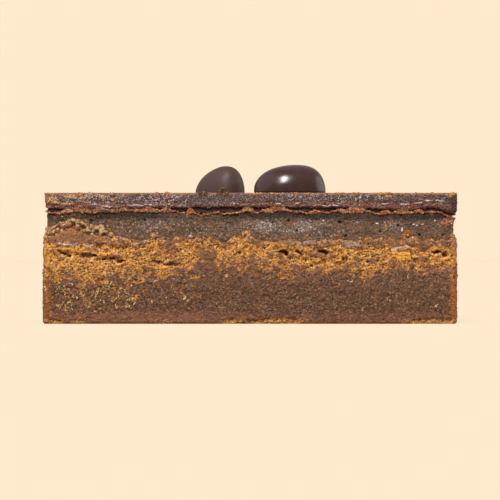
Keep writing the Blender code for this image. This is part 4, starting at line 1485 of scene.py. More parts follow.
@dataclass
class PaperyCrust:
    """The thin ragged crust between the fudge and the chocolate.

    It hangs clear of the chocolate in places, and stands up to meet it in others.
    """

    shape: Slice
    reach: float = 2.6 * MM
    foot_drop: float = 0.32 * MM
    least: float = 0.25 * MM
    rows: int = 11
    tents: Swells = swells(
        (1.6, 2, -0.1), (10.5, 10.5, 1.2), (19.5, 3, 0.6), (22.8, 1.2, 0.9), (27.1, 1.1, 0.9),
        (37.6, 1.8, 1.2), (42.6, 3, 1.3), (49.7, 1.4, 0.5), (54.8, 1.3, 0.5), (57.5, 2.6, 1.4),
        (62.8, 1.6, 0.6), (65.9, 1.9, 1), (68.9, 1.4, 0.5)
    )

    def build(self) -> bpy.types.Object:
        """Builds and dresses the crust.

        Returns:
            The piece.
        """
        shape, outline = self.shape, self.shape.outline
        hidden = scattered(
            2 * outline.half_width, outline.perimeter, 31, spacing=(3 * MM, 8 * MM),
            half_width=(1.2 * MM, 3.4 * MM), height=(0.3 * MM, 1.3 * MM),
        )
        ring = outline.ring(0.0, shape.crust_line)
        jag = Noise(22).rough(ring, 0.7 * MM, 3)
        tatter = Noise(21).rough(ring, 2.0 * MM, 4)
        foot = shape.crust_line - self.foot_drop + 0.12 * MM * jag
        foot = foot + 0.1 * MM * Noise(26).smooth(ring, 0.33 * MM)
        rise = self.least + outline.total(self.tents) + outline.total(hidden)
        rise = rise * (1 + 0.35 * Noise(23).rough(ring, 1.1 * MM, 2))
        rise = rise + 0.16 * MM * Noise(27).rough(ring, 0.5 * MM, 2)
        roof = shape.chocolate_line + 0.12 * MM
        top = np.minimum(foot + np.maximum(rise, 0.25 * MM), roof)
        share = np.linspace(0, 1, self.rows)[:, None]
        height = foot + share * (top - foot)
        touching = ramp(roof - top, 0.15 * MM, 0.0)
        edge = outline.blend(0.3 * MM, 0.72 * MM, 0.45 * MM)
        edge = edge + 0.26 * MM * np.clip(0.3 + 0.9 * tatter, 0, 1) * (1 - 0.7 * touching)
        plain = outline.ring(edge, height)
        crumple = Noise(24).rough(plain, 0.6 * MM, 3)
        _, _, value = Noise(25).grains(plain, 0.42 * MM)
        flaky = 0.24 * MM * (value - 0.3) + 0.22 * MM * crumple
        rounded = 0.16 * MM * np.where(share > 0.5, 1 - 0.8 * touching, 1.0) * (2 * share - 1) ** 4
        face = np.maximum(edge + flaky + rounded, 0)
        against = relative(flaky, 1)
        bed = shape.crust_line - shape.crust_thickness * 0.55
        inner = [
            (self.reach, bed), (self.reach * 0.6, bed), (edge + 0.4 * MM, foot + 0.04 * MM),
        ]
        outer = [
            (face[-1] + 0.25 * MM, top - 0.02 * MM), (edge + 0.42 * MM, top - 0.05 * MM),
            (edge + 0.55 * MM + 0.2 * MM * jag, shape.chocolate_line), (self.reach, shape.chocolate_line),
        ]
        inset = np.concatenate([self.level(inner, 0), face, self.level(outer, 0)])
        level = np.concatenate([self.level(inner, 1), height, self.level(outer, 1)])
        seen = np.zeros(level.shape)
        seen[len(inner) : len(inner) + self.rows] = 1
        # Painted shade: the rows beyond the seen face lie in the gap and under the crust, and the cracks in
        # that face are darkened too.
        cracks = np.zeros(level.shape)
        cracks[len(inner) : len(inner) + self.rows] = ramp(against, 0.02 * MM, 0.12 * MM) * 0.8
        self.points = outline.ring(face, height)
        skin = Skin()
        index = skin.add(outline.ring(inset, level), {"edge": seen, "deep": np.maximum(1 - seen, cracks)})
        skin.wrap(index, closed_rows=True)
        return skin.build("papery_crust", PAPERY_CRUST.build())

    def level(self, rows: list[tuple], part: int) -> Array:
        """Spreads one value of each named row over the whole outline."""
        return np.stack([np.broadcast_to(row[part], self.shape.outline.count) for row in rows])


@dataclass
class ChocolateTop:
    """The set chocolate: a granular broken face, a rounded brim and a satin poured top.

    The poured top is a set of rings, whose first inset, last inset and step are in millimetres.
    """

    DIP = 0.26 * MM
    WAVES = Noise(35)

    shape: Slice
    rows: int = 24
    brim_height: float = 0.3 * MM
    brim_rounding: float = 0.35 * MM
    brim_turns: tuple[int, ...] = (25, 50, 75, 90)
    margin: float = 0.06 * MM
    poured_rings: tuple[float, float, float] = (1.2, 26.4, 0.9)
    ledges: Ledges = ledges(
        (-28.7, 21.85, 1.1, 0.14), (-26.7, 21.55, 1.4, 0.14, -0.06), (-26.6, 20.95, 1.2, 0.1),
        (-21, 21.75, 2.4, 0.12), (-18.6, 21.85, 1, 0.12), (-2.6, 21.95, 0.8, 0.1), (5.1, 22, 0.9, 0.1),
        (8.2, 22.05, 1, 0.1), (14.6, 21.65, 2.2, 0.14, 0.04), (16.4, 22.1, 0.6, 0.1), (24.8, 21.95, 1, 0.14),
        (28.3, 21.85, 1.2, 0.14), (30.9, 22.15, 1.1, 0.14, 0.06), (32.9, 22.55, 0.8, 0.12),
        (34.6, 22.5, 1.2, 0.12, -0.1)
    )
    skirts: Swells = swells((11, 15, 0.5), (65, 9, 0.45), (110, 12, 0.3), (205, 16, 0.35))
    # Where along the outline the painted glint specks are thicker or thinner.
    speckled: Swells = swells(
        (9, 10, 0.42), (22.4, 7, 0.4), (35, 5, 0.12), (48, 8, 0.2), (57.5, 2, 0.5), (67, 6, -0.2),
        (75.4, 2.4, -1.2), (100, 14, 0.4), (160, 22, 0.4), (220, 14, 0.4), unit=1.0
    )
    dull_foot: Swells = swells((30, 12, 0.65), (120, 14, 0.5), (190, 16, 0.5), unit=1.0)
    # Where the face is darker and has few specks: the right-hand end.
    plain_end: Swells = swells((76, 2.2, 1), (4, 1.5, 0.3), unit=1.0)
    dusty: Spots = spots(
        (-32.9, 23.3, 1.3, 0.36), (-30.5, 23.05, 0.65, 0.18), (-26.9, 23.2, 0.8, 0.36),
        (-33.4, 21.95, 1.4, 0.2), (-36.4, 22.7, 0.9, 0.6), (-25.2, 22.7, 0.35, 0.3), (25.3, 23.35, 0.7, 0.22),
        (36.9, 23.5, 0.7, 0.26), (-35.6, 22.2, 0.8, 0.26), (-29.6, 22.2, 0.5, 0.18)
    )
    # Spots where the painted glint specks are thickest, which also stand out a little.
    bright: Spots = spots(
        (14.7, 23.2, 0.3, 0.3), (16.3, 23, 0.4, 0.7), (19.4, 23.3, 0.8, 0.5), (21.6, 23.4, 0.3, 0.3),
        (23.9, 23.2, 0.65, 0.5), (28.4, 23.3, 0.4, 0.3), (36.7, 23.35, 1.4, 0.52), (7.9, 23.8, 0.2, 0.2),
        (32.2, 22.4, 0.4, 0.18), (16.9, 22.1, 0.35, 0.25)
    )

    def build(self) -> bpy.types.Object:
        """Builds and dresses the chocolate.

        Returns:
            The piece.
        """
        shape, outline = self.shape, self.shape.outline
        brim = shape.height - self.brim_height
        setback = outline.blend(0.1 * MM, 0.42 * MM, 0.02 * MM)
        share = np.linspace(0, 1, self.rows)[:, None]
        ring = outline.ring(0.0, shape.chocolate_line)
        jag = 0.22 * MM * Noise(37).rough(ring, 0.8 * MM, 3)
        ragged = shape.chocolate_line - outline.total(self.skirts) + jag
        height = ragged + share * (brim - ragged)
        tuck = 0.22 * MM * ramp(share, outline.blend(0.12, 0.12, 0.26), 0.0)
        plain = outline.ring(setback, height)
        broad, medium, fine = Noise(31), Noise(32), Noise(33)
        flat = np.array([0.28, 0.28, 1.0])
        roll = np.clip(0.35 + 0.8 * broad.rough(plain, 2.4 * MM), 0, 1)
        middle, _, value = fine.grains(plain, 0.4 * MM)
        lump = dome(middle) * (0.4 + value)
        _, _, plate = medium.grains(plain * flat + 0.02, 0.42 * MM)
        low = ramp(share + 0.18 * broad.rough(plain, 1.6 * MM), 0.62, 0.3)
        low = low * (1 - outline.total(self.dull_foot))
        cracked = np.clip(medium.rough(plain * flat, 0.5 * MM, 2), 0, 1)
        relief = 0.14 * MM * roll - 0.1 * MM * lump + low * (0.2 * MM * plate + 0.2 * MM * cracked)
        bright = front_sum(outline, plain, self.bright, Spot.share)
        dusty = front_sum(outline, plain, self.dusty, Spot.share)
        shelves = front_sum(outline, plain, self.ledges, Ledge.at)
        relief = relief - shelves - 0.1 * MM * (bright + dusty)
        relief, tuck = relief * outline.blend(1.0, 1.0, 0.15), tuck * outline.blend(1.0, 1.0, 1.4)
        self.points = outline.ring(setback + np.maximum(tuck + relief + self.margin, 0), height)
        against = relative(relief, 1)
        self.dust = np.clip(dusty, 0, 1)
        # The painted glint specks: thicker in places along the outline and in the bright spots, fewer on the
        # redder lower edge.
        speck = 0.34 + outline.total(self.speckled) + 0.35 * broad.rough(plain + 0.01, 1.8 * MM) + bright
        masks = {
            "cut": np.ones_like(height),
            "low": low,
            "dust": self.dust,
            "speck": np.clip(speck, 0, 1) * (1 - 0.35 * low),
            # A painted highlight along the ledges' lips.
            "streak": front_sum(outline, plain, self.ledges, Ledge.lip),
            # Darker at the right-hand end.
            "smooth": np.clip(outline.total(self.plain_end), 0, 1) * ramp(height, 23.3 * MM, 22.8 * MM),
            # Painted shade in the crevices.
            "deep": ramp(against, 0.03 * MM, 0.12 * MM) * 0.8,
            # Orange on the brim, partly crumbs and partly a painted glow of light through the edge.
            "rim": ramp(share, 0.84, 1.0) * 0.6 * np.where(outline.front, 1.0, 0.4),
        }
        skin = Skin()
        index = skin.add(self.points, masks)
        skin.wrap(index)
        rim_rows = [index[-1]]
        wander = 0.1 * MM * Noise(36).rough(plain[-1], 1.2 * MM)
        # The brim's orange, partly crumbs and partly a painted glow, is full at the front and weaker and
        # uneven elsewhere.
        glow_and_crumbs = np.where(outline.front, 1.0, 0.35 + 0.4 * broad.rough(plain[-1], 4.0 * MM))
        for turn in self.brim_turns:
            cos, sin = math.cos(math.radians(turn)), math.sin(math.radians(turn))
            inset = setback + self.brim_rounding * (1 - cos) + relief[-1] * cos + self.margin
            level = brim + (shape.height - 0.08 * MM + wander - brim) * sin
            around = {"cut": np.full(outline.count, 0.5 * cos), "rim": glow_and_crumbs}
            rim_rows.append(skin.add(outline.ring(inset, level), around))
        skin.wrap(np.stack(rim_rows))
        self.poured_top(skin, rim_rows[-1])
        close_inside(skin, outline, index[0], shape.chocolate_line, shape.chocolate_underside, False)
        return skin.build("chocolate_slab", DARK_CHOCOLATE.build())

    @classmethod
    def dip(cls, points: Array, inset: Array) -> Array:
        """Works out how far the poured top sinks below its level.

        Args:
            points: Points of the level top.
            inset: How far in from its edge they lie.

        Returns:
            The depth at each point.
        """
        wave = 0.5 + 0.42 * cls.WAVES.rough(points, 14.0 * MM, 2)
        wave = wave + 0.14 * cls.WAVES.smooth(points + 0.1, 3.6 * MM)
        return cls.DIP * wave * ramp(inset, 0.8 * MM, 6.0 * MM)

    def poured_top(self, skin: Skin, edge: Array) -> None:
        """Carries the gently waving top in to the middle.

        Args:
            skin: The chocolate's skin.
            edge: Indices of the innermost ring of the brim.
        """
        shape, outline = self.shape, self.shape.outline
        earlier = None
        for inset in np.arange(*self.poured_rings) * MM:
            flat = outline.ring(inset, shape.height)[::THINNING]
            poured = {"poured": ramp(inset, 0.8 * MM, 2.0 * MM)}
            ring = skin.add(flat - self.dip(flat, inset)[:, None] * UP, poured)
            if earlier is None:
                skin.thin_out(edge, ring, True)
            else:
                skin.wrap(np.stack([earlier, ring]))
            earlier = ring
        skin.lid(earlier, True)


@dataclass(frozen=True)
class Bean:
    """A coated bean with a blunt end and a slimmer nose, half sunk in the chocolate."""

    SEAM = 0.3 * MM
    COLLAR = (1.0, 0.5, 0.15, -0.2)

    node: str
    finish: Finish
    x: float
    y: float
    turn_degrees: float
    blunt_reach: float
    nose_reach: float
    half_breadth: float
    rise: float
    waist: float
    blunt_power: float
    nose_power: float
    nose_slope: float
    seed: int
    around: int = 96
    lengthwise: int = 72
    sunk: float = 0.45 * MM
    skirt: float = 0.8 * MM
    skirt_height: float = 0.38 * MM

    def surface(self, unit_x: Array, turn: Array) -> Array:
        """Gives points on the bean, along its own axis, from its waist.

        Args:
            unit_x: Places along the bean, from -1 at its nose to 1 at its blunt end.
            turn: Angles round it.

        Returns:
            The points.
        """
        nose = unit_x < 0
        power = np.where(nose, self.nose_power, self.blunt_power)
        slope = np.where(nose, self.nose_slope, 2.0)
        reach = np.where(nose, self.nose_reach, self.blunt_reach)
        tall = np.maximum(1 - np.abs(unit_x) ** power, 0) ** (1 / slope)
        broad = 0.5 * tall + 0.5 * np.sqrt(np.maximum(1 - unit_x**2, 0))
        up = np.sin(turn)
        high = np.where(up > 0, self.rise + self.SEAM - self.waist, self.waist + self.sunk)
        return np.stack([unit_x * reach, np.cos(turn) * broad * self.half_breadth, up * tall * high], axis=-1)

    def place(self, local: Array, top: float) -> Array:
        """Turns points to their place on the slice.

        Args:
            local: Points along the bean's own axis.
            top: Height of the chocolate.

        Returns:
            The points on the slice.
        """
        angle = math.radians(self.turn_degrees)
        cos, sin = math.cos(angle), math.sin(angle)
        x = self.x + local[..., 0] * cos - local[..., 1] * sin
        y = self.y + local[..., 0] * sin + local[..., 1] * cos
        return np.stack([x, y, top + local[..., 2]], axis=-1)

    def build(self, top: float) -> bpy.types.Object:
        """Builds and dresses the bean with the skirt of chocolate that it sank into.

        Args:
            top: Height of the chocolate that it stands in.

        Returns:
            The piece.
        """
        polar = np.linspace(0.02, math.pi - 0.02, self.lengthwise)[:, None]
        turn = np.linspace(0, 2 * math.pi, self.around, endpoint=False)[None]
        local = self.surface(np.cos(polar) * np.ones_like(turn), turn)
        local = local * (1 + 0.012 * Noise(self.seed).smooth(local, 4.0 * MM))[..., None]
        local[..., 2] += self.waist
        skin = Skin()
        index = skin.add(self.place(local, top))
        skin.wrap(index[::-1])
        skin.lid(index[0], True)
        skin.lid(index[-1], False)
        return skin.build(self.node + "_coat", self.finish.build())

    def collar(self, top: float) -> Array:
        """Gives rings of points that rise from the chocolate to the bean's side.

        Args:
            top: Height of the chocolate.

        Returns:
            Four rings, the outermost first.
        """
        around = np.linspace(0, 2 * math.pi, self.around, endpoint=False)
        unit_x = np.cos(around)
        side = self.surface(unit_x, np.where(np.sin(around) >= 0, 0.0, math.pi))
        middle = side * np.array([1.0, 1.0, 0.0])
        out = middle / np.maximum(np.linalg.norm(middle, axis=-1, keepdims=True), 1e-9)
        spread = 1 + 0.35 * Noise(self.seed + 10).smooth(middle + 0.01, 2.5 * MM)[:, None]
        rows = []
        for share in self.COLLAR:
            ring = middle + out * self.skirt * max(share, 0.0) * spread + out * min(share, 0.0) * MM
            lift = self.skirt_height * (1 - max(share, 0.0)) ** 2 - 0.16 * MM * (share == 1.0)
            rows.append(self.place(ring + lift * UP, top))
        return np.stack(rows)


@dataclass
class BeanSkirts:
    """The low collars of chocolate that set round the beans as they were pressed in."""

    beans: tuple[Bean, ...]
    inner_depth: float = 0.9 * MM
    outer_depth: float = 0.5 * MM

    def build(self, top: float) -> bpy.types.Object:
        """Builds and dresses both collars.

        Args:
            top: Height of the chocolate.

        Returns:
            The piece.
        """
        skin = Skin()
        for bean in self.beans:
            rings = bean.collar(top)
            sunk = rings[-1] - self.inner_depth * UP
            outer = rings[0] - self.outer_depth * UP
            index = skin.add(np.concatenate([rings, sunk[None], outer[None]]))
            skin.wrap(index, closed_rows=True)
        return skin.build("bean_skirts", DARK_CHOCOLATE.build())


@dataclass
class LooseCrumbs:
    """One kind of loose crumb, from least to most millimetres wide, scattered over points of the faces."""

    STRETCH = (0.65, 1.35)
    LUMPINESS = 0.3

    name: str
    finish: Finish
    seed: int
    least: float
    most: float
    fine: bool = False
    sink: float = 0.1
    length: float = 1.0
    bend: float = 0.0
    flatness: float = 0.0

    def build(self, strewn: Sequence[tuple[Array, Array]]) -> bpy.types.Object:
        """Builds one lumpy grain at each place and joins them all.

        Args:
            strewn: Scatterings, each with its places and the direction away from the face at each place.

        Returns:
            The piece.
        """
        places, outward = (np.concatenate(part) for part in zip(*strewn))
        draw = np.random.default_rng(self.seed)
        shape, faces = self.grain(self.fine)
        count = len(places)
        least, most = self.least * MM, self.most * MM
        size = least + (most - least) * draw.random(count) ** 2
        stretch = draw.uniform(*self.STRETCH, (count, 1, 3)) * np.array([self.length, 1.0, 1.0])
        lumps = 1 + self.LUMPINESS * draw.uniform(-1, 1, (count, len(shape), 1))
        grain = shape[None] * lumps * stretch
        grain[..., 1] += self.bend * (grain[..., 0] ** 2 - 1)
        turned = np.einsum("nij,nvj->nvi", self.turns(draw, count), grain)
        off = np.einsum("nvi,ni->nv", turned, outward)
        turned = turned - self.flatness * off[..., None] * outward[:, None]
        centre = places - outward * (size * self.sink)[:, None]
        points = turned * (size / 2)[:, None, None] + centre[:, None]
        points[..., 2] = np.maximum(points[..., 2], 0.02 * MM)
        skin = Skin()
        index = skin.add(points, {"tint": np.broadcast_to(draw.random((count, 1)), points.shape[:-1])})
        skin.faces = index[:, faces].reshape(-1, 3).tolist()
        return skin.build(self.name, self.finish.build(), smooth=False)

    @staticmethod
    def grain(fine: bool) -> tuple[Array, Array]:
        """Gives the points and faces of one plain round grain, which is bent out of shape afterwards.

        Args:
            fine: Whether each of its twenty faces is split in four.

        Returns:
            Points at a distance of 1 from the middle, and three indices for each face.
        """
        mesh = bpy.data.meshes.new("grain")
        work = bmesh.new()
        bmesh.ops.create_icosphere(work, subdivisions=2 if fine else 1, radius=1.0)
        work.to_mesh(mesh)
        work.free()
        points = np.array([vertex.co[:] for vertex in mesh.vertices])
        faces = np.array([face.vertices[:] for face in mesh.polygons])
        bpy.data.meshes.remove(mesh)
        return points, faces

    @staticmethod
    def turns(draw: np.random.Generator, count: int) -> Array:
        """Draws random rotations.

        Args:
            draw: The random generator.
            count: How many.

        Returns:
            One 3 by 3 matrix each.
        """
        matrix, _ = np.linalg.qr(draw.normal(size=(count, 3, 3)))
        matrix[:, :, 0] *= np.sign(np.linalg.det(matrix))[:, None]
        return matrix


@dataclass
class Scatter:
    """Chooses where loose crumbs lie, more of them where a weight is high."""

    outline: Outline

    def pick(self, seed: int, points: Array, weight: Array | float, count: int) -> tuple[Array, Array]:
        """Draws places on a face.

        Args:
            seed: The seed of the draw.
            points: The face's points, in rows round the slice.
            weight: How likely a crumb is at each, for equal areas.
            count: How many crumbs.

        Returns:
            Places, and the direction away from the face at each.
        """
        outline = self.outline
        width = np.roll(outline.along, -1) - outline.along
        width[-1] = outline.perimeter + outline.along[0] - outline.along[-1]
        chance = np.clip(weight, 0, None) * width * np.ones_like(points[..., 2])
        chance = chance.reshape(-1) / chance.sum()
        chosen = np.random.default_rng(seed).choice(len(chance), size=count, replace=False, p=chance)
        out = np.concatenate([outline.out, np.zeros((outline.count, 1))], axis=1)
        outward = np.broadcast_to(out, points.shape).reshape(-1, 3)[chosen]
        return points.reshape(-1, 3)[chosen], outward


@dataclass
class ChocolateRim:
    """Where crumbs lie on top of the slice, most of them along its edges."""

    shape: Slice
    reach: float = 0.5 * MM
    nearest: float = 0.22 * MM
    slide: float = 0.2 * MM
    sparse: float = 0.12
    crumbly: Swells = swells(
        (7.2, 0.5, 3), (8.8, 0.6, 4), (12.8, 0.4, 3), (21, 0.6, 3), (23, 0.7, 4), (42, 6, 0.8),
        (54.5, 1.2, 4), (57.5, 1.1, 5), (62.7, 1.6, 6), (75, 0.6, 6), (120, 12, 1), (170, 9, 1.5),
        (226, 12, 1), unit=1.0
    )

    def strew(self, seed: int, count: int) -> tuple[Array, Array]:
        """Draws places on the top.

        Args:
            seed: The seed of the draw.
            count: How many crumbs.

        Returns:
            Places, and the upward direction at each.
        """
        outline = self.shape.outline
        draw = np.random.default_rng(seed)
        step = np.gradient(outline.along)
        chance = (self.sparse + outline.total(self.crumbly)) * step
        chosen = draw.choice(outline.count, size=count, p=chance / chance.sum())
        depths = self.nearest + draw.exponential(self.reach, count)
        inside = outline.ring(0.0, self.shape.height)[chosen]
        out = np.concatenate([outline.out[chosen], np.zeros((count, 1))], axis=1)
        sideways = out[:, [1, 0, 2]] * np.array([-1.0, 1.0, 0.0])
        places = inside - out * depths[:, None] + draw.uniform(-self.slide, self.slide, (count, 1)) * sideways
        return places - ChocolateTop.dip(places, depths)[:, None] * UP, np.tile(UP, (count, 1))


@dataclass(frozen=True)
class Heap:
    """A small heap of crumbs on the front edge of the top, some of them down the face."""

    ON_TOP = 0.6
    DEPTHS = (0.1, 1.2)

    x: float
    half_width: float
    height: float
    drop: float
    count: int
    seed: int

    def strew(self, shape: Slice) -> tuple[Array, Array]:
        """Draws places in the heap.

        Args:
            shape: The slice.

        Returns:
            Places, and the upward direction at each.
        """
        draw = np.random.default_rng(self.seed)
        share = draw.uniform(-1, 1, self.count)
        crown = (1 - share**2) * draw.random(self.count)
        on_top = draw.random(self.count) < self.ON_TOP
        level = np.where(on_top, self.height * crown, -self.drop * crown)
        back = np.where(on_top, draw.uniform(*self.DEPTHS, self.count) * MM, 0.02 * MM)
        x = self.x + self.half_width * share
        y = -shape.outline.half_depth + 0.15 * MM + back
        return np.stack([x, y, shape.height + level], axis=-1), np.tile(UP, (self.count, 1))


HEAPS = (
    Heap(-8.6 * MM, 0.9 * MM, height=0.2 * MM, drop=1.0 * MM, count=110, seed=91),
    Heap(-4.9 * MM, 1.0 * MM, height=1.0 * MM, drop=0.7 * MM, count=150, seed=92),
)


# ---------------- studio


class Lamp(Enum):
    """The kinds of light, by Blender's names for them."""

    SOFTBOX = "AREA"
    SUN = "SUN"


@dataclass
class Studio:
    """Pale floor, plain backdrop, soft light, and the camera level with the middle of the slice.

    A light comes from so many degrees above the floor and to the right of the camera's side.
    """

    middle_height: float = 13.5 * MM
    distance: float = 0.6
    view_width: float = 91.35 * MM
    sensor: float = 36.0
    nearest: float = 0.01
    key_from: Pair = (50, -12)
    key_energy: float = 3.0
    left_from: Pair = (35, -80)
    left_spread: float = 70
    right_from: Pair = (14, 105)
    right_spread: float = 50
    fill_energy: float = 0.7
    box_distance: float = 8.0
    box_size: Pair = (1.2, 3.4)
    dome_strength: float = 0.55
    dome_tone: tuple[float, ...] = (1.0, 0.98, 0.95, 1.0)
    floor_half: float = 4.0
    floor_drop: float = 0.02 * MM
    paper_share: float = 0.05
    glow: float = 0.976
    bounce_tone: tuple[float, ...] = (0.26, 0.22, 0.18, 1.0)

    def build(self, shape: Slice) -> None:
        """Sets up the camera, the light and the floor.

        Args:
            shape: The slice that is shown.
        """
        scene = bpy.context.scene
        scene.view_settings.view_transform = "Standard"
        scene.view_settings.look = "None"
        front = -shape.outline.half_depth
        data = bpy.data.cameras.new("camera")
        data.sensor_width = self.sensor
        data.lens = self.sensor * self.distance / self.view_width
        data.clip_start = self.nearest
        camera = bpy.data.objects.new("camera", data)
        camera.location = (0.0, front - self.distance, self.middle_height)
        camera.rotation_euler = (math.radians(90), 0.0, 0.0)
        scene.collection.objects.link(camera)
        scene.camera = camera
        self.backdrop()
        # A tall softbox, high at the front, gives the beans their round highlights. Two broad, weak suns
        # fill the left-hand side and catch the right-hand edge.
        power = self.key_energy * math.pi * self.box_distance**2
        key = self.hang("key", Lamp.SOFTBOX, power, self.key_from, self.box_distance)
        key.shape = "RECTANGLE"
        key.size, key.size_y = self.box_size
        left = self.hang("left_fill", Lamp.SUN, self.fill_energy, self.left_from)
        left.angle = math.radians(self.left_spread)
        right = self.hang("right_rim", Lamp.SUN, self.fill_energy, self.right_from)
        right.angle = math.radians(self.right_spread)
        self.floor()

    def hang(self, name: str, kind: Lamp, energy: float, start: Pair, far: float = 0.0) -> bpy.types.Light:
        """Hangs a light that shines at the slice.

        Args:
            name: The light's name.
            kind: What kind of light it is.
            energy: Its strength.
            start: The degrees that it comes from.
            far: How far away it hangs, which only a softbox needs.

        Returns:
            The light, for its size to be set.
        """
        data = bpy.data.lights.new(name, kind.value)
        data.energy = energy
        lamp = bpy.data.objects.new(name, data)
        source = self.towards(*start)
        lamp.location = source * far
        lamp.rotation_euler = source.to_track_quat("Z", "Y").to_euler()
        bpy.context.scene.collection.objects.link(lamp)
        return data

    @staticmethod
    def towards(elevation: float, azimuth: float) -> Vector:
        """Gives the direction of a light, from its degrees above the floor and to the camera's right."""
        high, side = math.radians(elevation), math.radians(azimuth)
        return Vector((math.sin(side) * math.cos(high), -math.cos(side) * math.cos(high), math.sin(high)))

    def backdrop(self) -> None:
        """Makes the world: one pale tone to look at, and a quieter neutral light all round."""
        world = bpy.data.worlds.new("studio")
        bpy.context.scene.world = world
        tree = fresh_tree(world)
        seen = add_node(tree, "ShaderNodeBackground", {"Color": linear(BACKDROP_TONE), "Strength": 1.0})
        sky = {"Color": self.dome_tone, "Strength": self.dome_strength}
        lit = add_node(tree, "ShaderNodeBackground", sky)
        ray = add_node(tree, "ShaderNodeLightPath").outputs["Is Camera Ray"]
        both = {0: ray, 1: lit.outputs["Background"], 2: seen.outputs["Background"]}
        mixed = add_node(tree, "ShaderNodeMixShader", both)
        add_node(tree, "ShaderNodeOutputWorld", {"Surface": mixed.outputs["Shader"]})

    def floor(self) -> None:
        """Lays the pale floor, whose glow keeps it at the backdrop's tone, with only a faint shadow."""
        half = self.floor_half
        corners = [(-half, -half, 0), (half, -half, 0), (half, half, 0), (-half, half, 0)]
        mesh = bpy.data.meshes.new("floor")
        mesh.from_pydata(corners, [], [(0, 1, 2, 3)])
        material = bpy.data.materials.new("pale_paper")
        tree = fresh_tree(material)
        tone = linear(BACKDROP_TONE)
        glow = add_node(tree, "ShaderNodeEmission", {"Color": tone, "Strength": self.glow})
        paper = add_node(tree, "ShaderNodeBsdfDiffuse", {"Color": tone})
        lit = {0: self.paper_share, 1: glow.outputs["Emission"], 2: paper.outputs["BSDF"]}
        seen = add_node(tree, "ShaderNodeMixShader", lit)
        bounced = add_node(tree, "ShaderNodeBsdfDiffuse", {"Color": self.bounce_tone})
        ray = add_node(tree, "ShaderNodeLightPath").outputs["Is Camera Ray"]
        both = {0: ray, 1: bounced.outputs["BSDF"], 2: seen.outputs["Shader"]}
        mixed = add_node(tree, "ShaderNodeMixShader", both)
        add_node(tree, "ShaderNodeOutputMaterial", {"Surface": mixed.outputs["Shader"]})
        mesh.materials.append(material)
        floor = bpy.data.objects.new("floor", mesh)
        floor.location = (0.0, 0.0, -self.floor_drop)
        bpy.context.scene.collection.objects.link(floor)


BEANS = (
    Bean(
        node="bean_left", finish=RUBBED_COATING, x=-4.85 * MM, y=3.0 * MM, turn_degrees=-43.0,
        blunt_reach=3.9 * MM, nose_reach=7.25 * MM, half_breadth=3.5 * MM, rise=5.3 * MM, waist=0.45 * MM,
        blunt_power=2.9, nose_power=1.65, nose_slope=1.6, seed=41,
    ),
    Bean(
        node="bean_right", finish=POLISHED_COATING, x=9.0 * MM, y=-3.0 * MM, turn_degrees=9.0,
        blunt_reach=5.4 * MM, nose_reach=8.3 * MM, half_breadth=4.5 * MM, rise=5.4 * MM, waist=0.6 * MM,
        blunt_power=2.6, nose_power=2.3, nose_slope=2.1, seed=42,
    ),
)


def dress(piece: bpy.types.Object, slot: str, node: str | None = None) -> None:
    """Makes a piece ride on the slice and hides the node it stands for.

    Args:
        piece: The new piece.
        slot: The record's material slot; not used.
        node: The plain solid that it replaces, if any.
    """
    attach(piece, "root")
    if node:
        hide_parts(node)
    LOG.info("%s: %d faces, for %s", piece.name, len(piece.data.polygons), node or "no node")


RUBBED_CURLS = LooseCrumbs(
    "rubbed_curls", CURLED_CRUMB, 88, 0.14, 0.3, fine=True, sink=0.05, length=2.8, bend=0.35, flatness=0.6
)


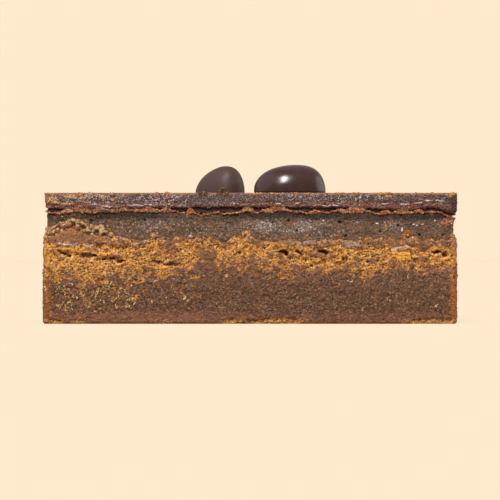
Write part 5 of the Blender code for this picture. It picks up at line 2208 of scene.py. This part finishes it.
def scatter_crumbs(
    shape: Slice, cake: CakeBase, band: CrumbBand, fudge: FudgeLayer, crust: PaperyCrust,
    chocolate: ChocolateTop,
) -> None:
    """Strews loose crumbs over the faces of the layers that are built.

    Args:
        shape: The slice.
        cake: The cake.
        band: The crumb layer.
        fudge: The fudge.
        crust: The crust.
        chocolate: The chocolate.
    """
    rim, strays = ChocolateRim(shape), ChocolateRim(shape, reach=8.0 * MM)
    pick = Scatter(shape.outline).pick
    kinds = (
        (LooseCrumbs("fine_golden_crumbs", LOOSE_CRUMB, 71, 0.14, 0.38, sink=0.25), "golden_crumb", [
            pick(72, band.points, band.gold**2 * (1 - 0.9 * band.clump), 3000),
            pick(73, cake.points, 0.002 + cake.gold**2, 2200),
            pick(78, chocolate.points, 0.003 + chocolate.dust, 200),
            strays.strew(94, 110),
        ]),
        (LooseCrumbs("golden_crumbs", LOOSE_CRUMB, 74, 0.3, 0.65, fine=True, sink=0.4), "golden_crumb", [
            pick(75, band.points, band.gold**2 * (1 - band.clump), 460),
            rim.strew(79, 330),
            strays.strew(96, 40),
        ]),
        (LooseCrumbs("stained_crumbs", STAINED_CRUMB, 76, 0.26, 0.72, fine=True, sink=0.26), "golden_crumb", [
            pick(77, band.points, 0.03 * band.clump + band.crest, 620),
        ]),
        (LooseCrumbs("lifted_crumbs", LOOSE_CRUMB, 68, 0.12, 0.34, sink=0.15, length=1.6), "golden_crumb", [
            pick(69, fudge.points, fudge.lifted, 420),
        ]),
        (RUBBED_CURLS, "golden_crumb", [pick(89, cake.points, 0.004 + cake.flecked, 1000)]),
        (LooseCrumbs("heaped_crumbs", CAKE_GRAIN, 80, 0.16, 0.42), "golden_crumb", [
            heap.strew(shape) for heap in HEAPS
        ]),
        (LooseCrumbs("crust_crumbs", CRUST_CRUMB, 81, 0.12, 0.42, sink=0.22), "moist_fudge", [
            pick(82, crust.points, 1.0, 2600),
            pick(90, fudge.points, fudge.flaked, 90),
        ]),
        (LooseCrumbs("chocolate_grains", CHOCOLATE_GRAIN, 83, 0.14, 0.36, sink=0.15), "dark_chocolate", [
            pick(84, chocolate.points, 1.0, 3000),
            strays.strew(95, 160),
        ]),
        (LooseCrumbs("cake_grains", CAKE_GRAIN, 85, 0.18, 0.44, sink=0.22), "brown_cake", [
            pick(86, cake.points, np.clip(1 - cake.gold, 0.1, 1), 3600),
            pick(87, band.points, np.clip(0.8 - band.gold, 0, 1), 1000),
        ]),
    )
    for crumbs, slot, strewn in kinds:
        dress(crumbs.build(strewn), slot)


def main() -> None:
    """Builds the slice from the bottom up, then the studio round it."""
    logging.basicConfig(level=logging.INFO, format="%(name)s: %(message)s")
    shape = Slice()
    face = CutFace(shape)
    cake, band = CakeBase(shape, face), CrumbBand(shape, face)
    fudge, crust, chocolate = FudgeLayer(shape), PaperyCrust(shape), ChocolateTop(shape)
    dress(cake.build(), "brown_cake", "cake_base")
    dress(band.build(), "golden_crumb", "crumb_layer")
    dress(fudge.build(), "moist_fudge", "fudge_layer")
    dress(crust.build(), "moist_fudge")
    dress(chocolate.build(), "dark_chocolate", "chocolate_top")
    for bean in BEANS:
        dress(bean.build(shape.height), "bean_coating", bean.node)
    dress(BeanSkirts(BEANS).build(shape.height), "dark_chocolate")
    scatter_crumbs(shape, cake, band, fudge, crust, chocolate)
    Studio().build(shape)


if __name__ == "__main__":
    main()
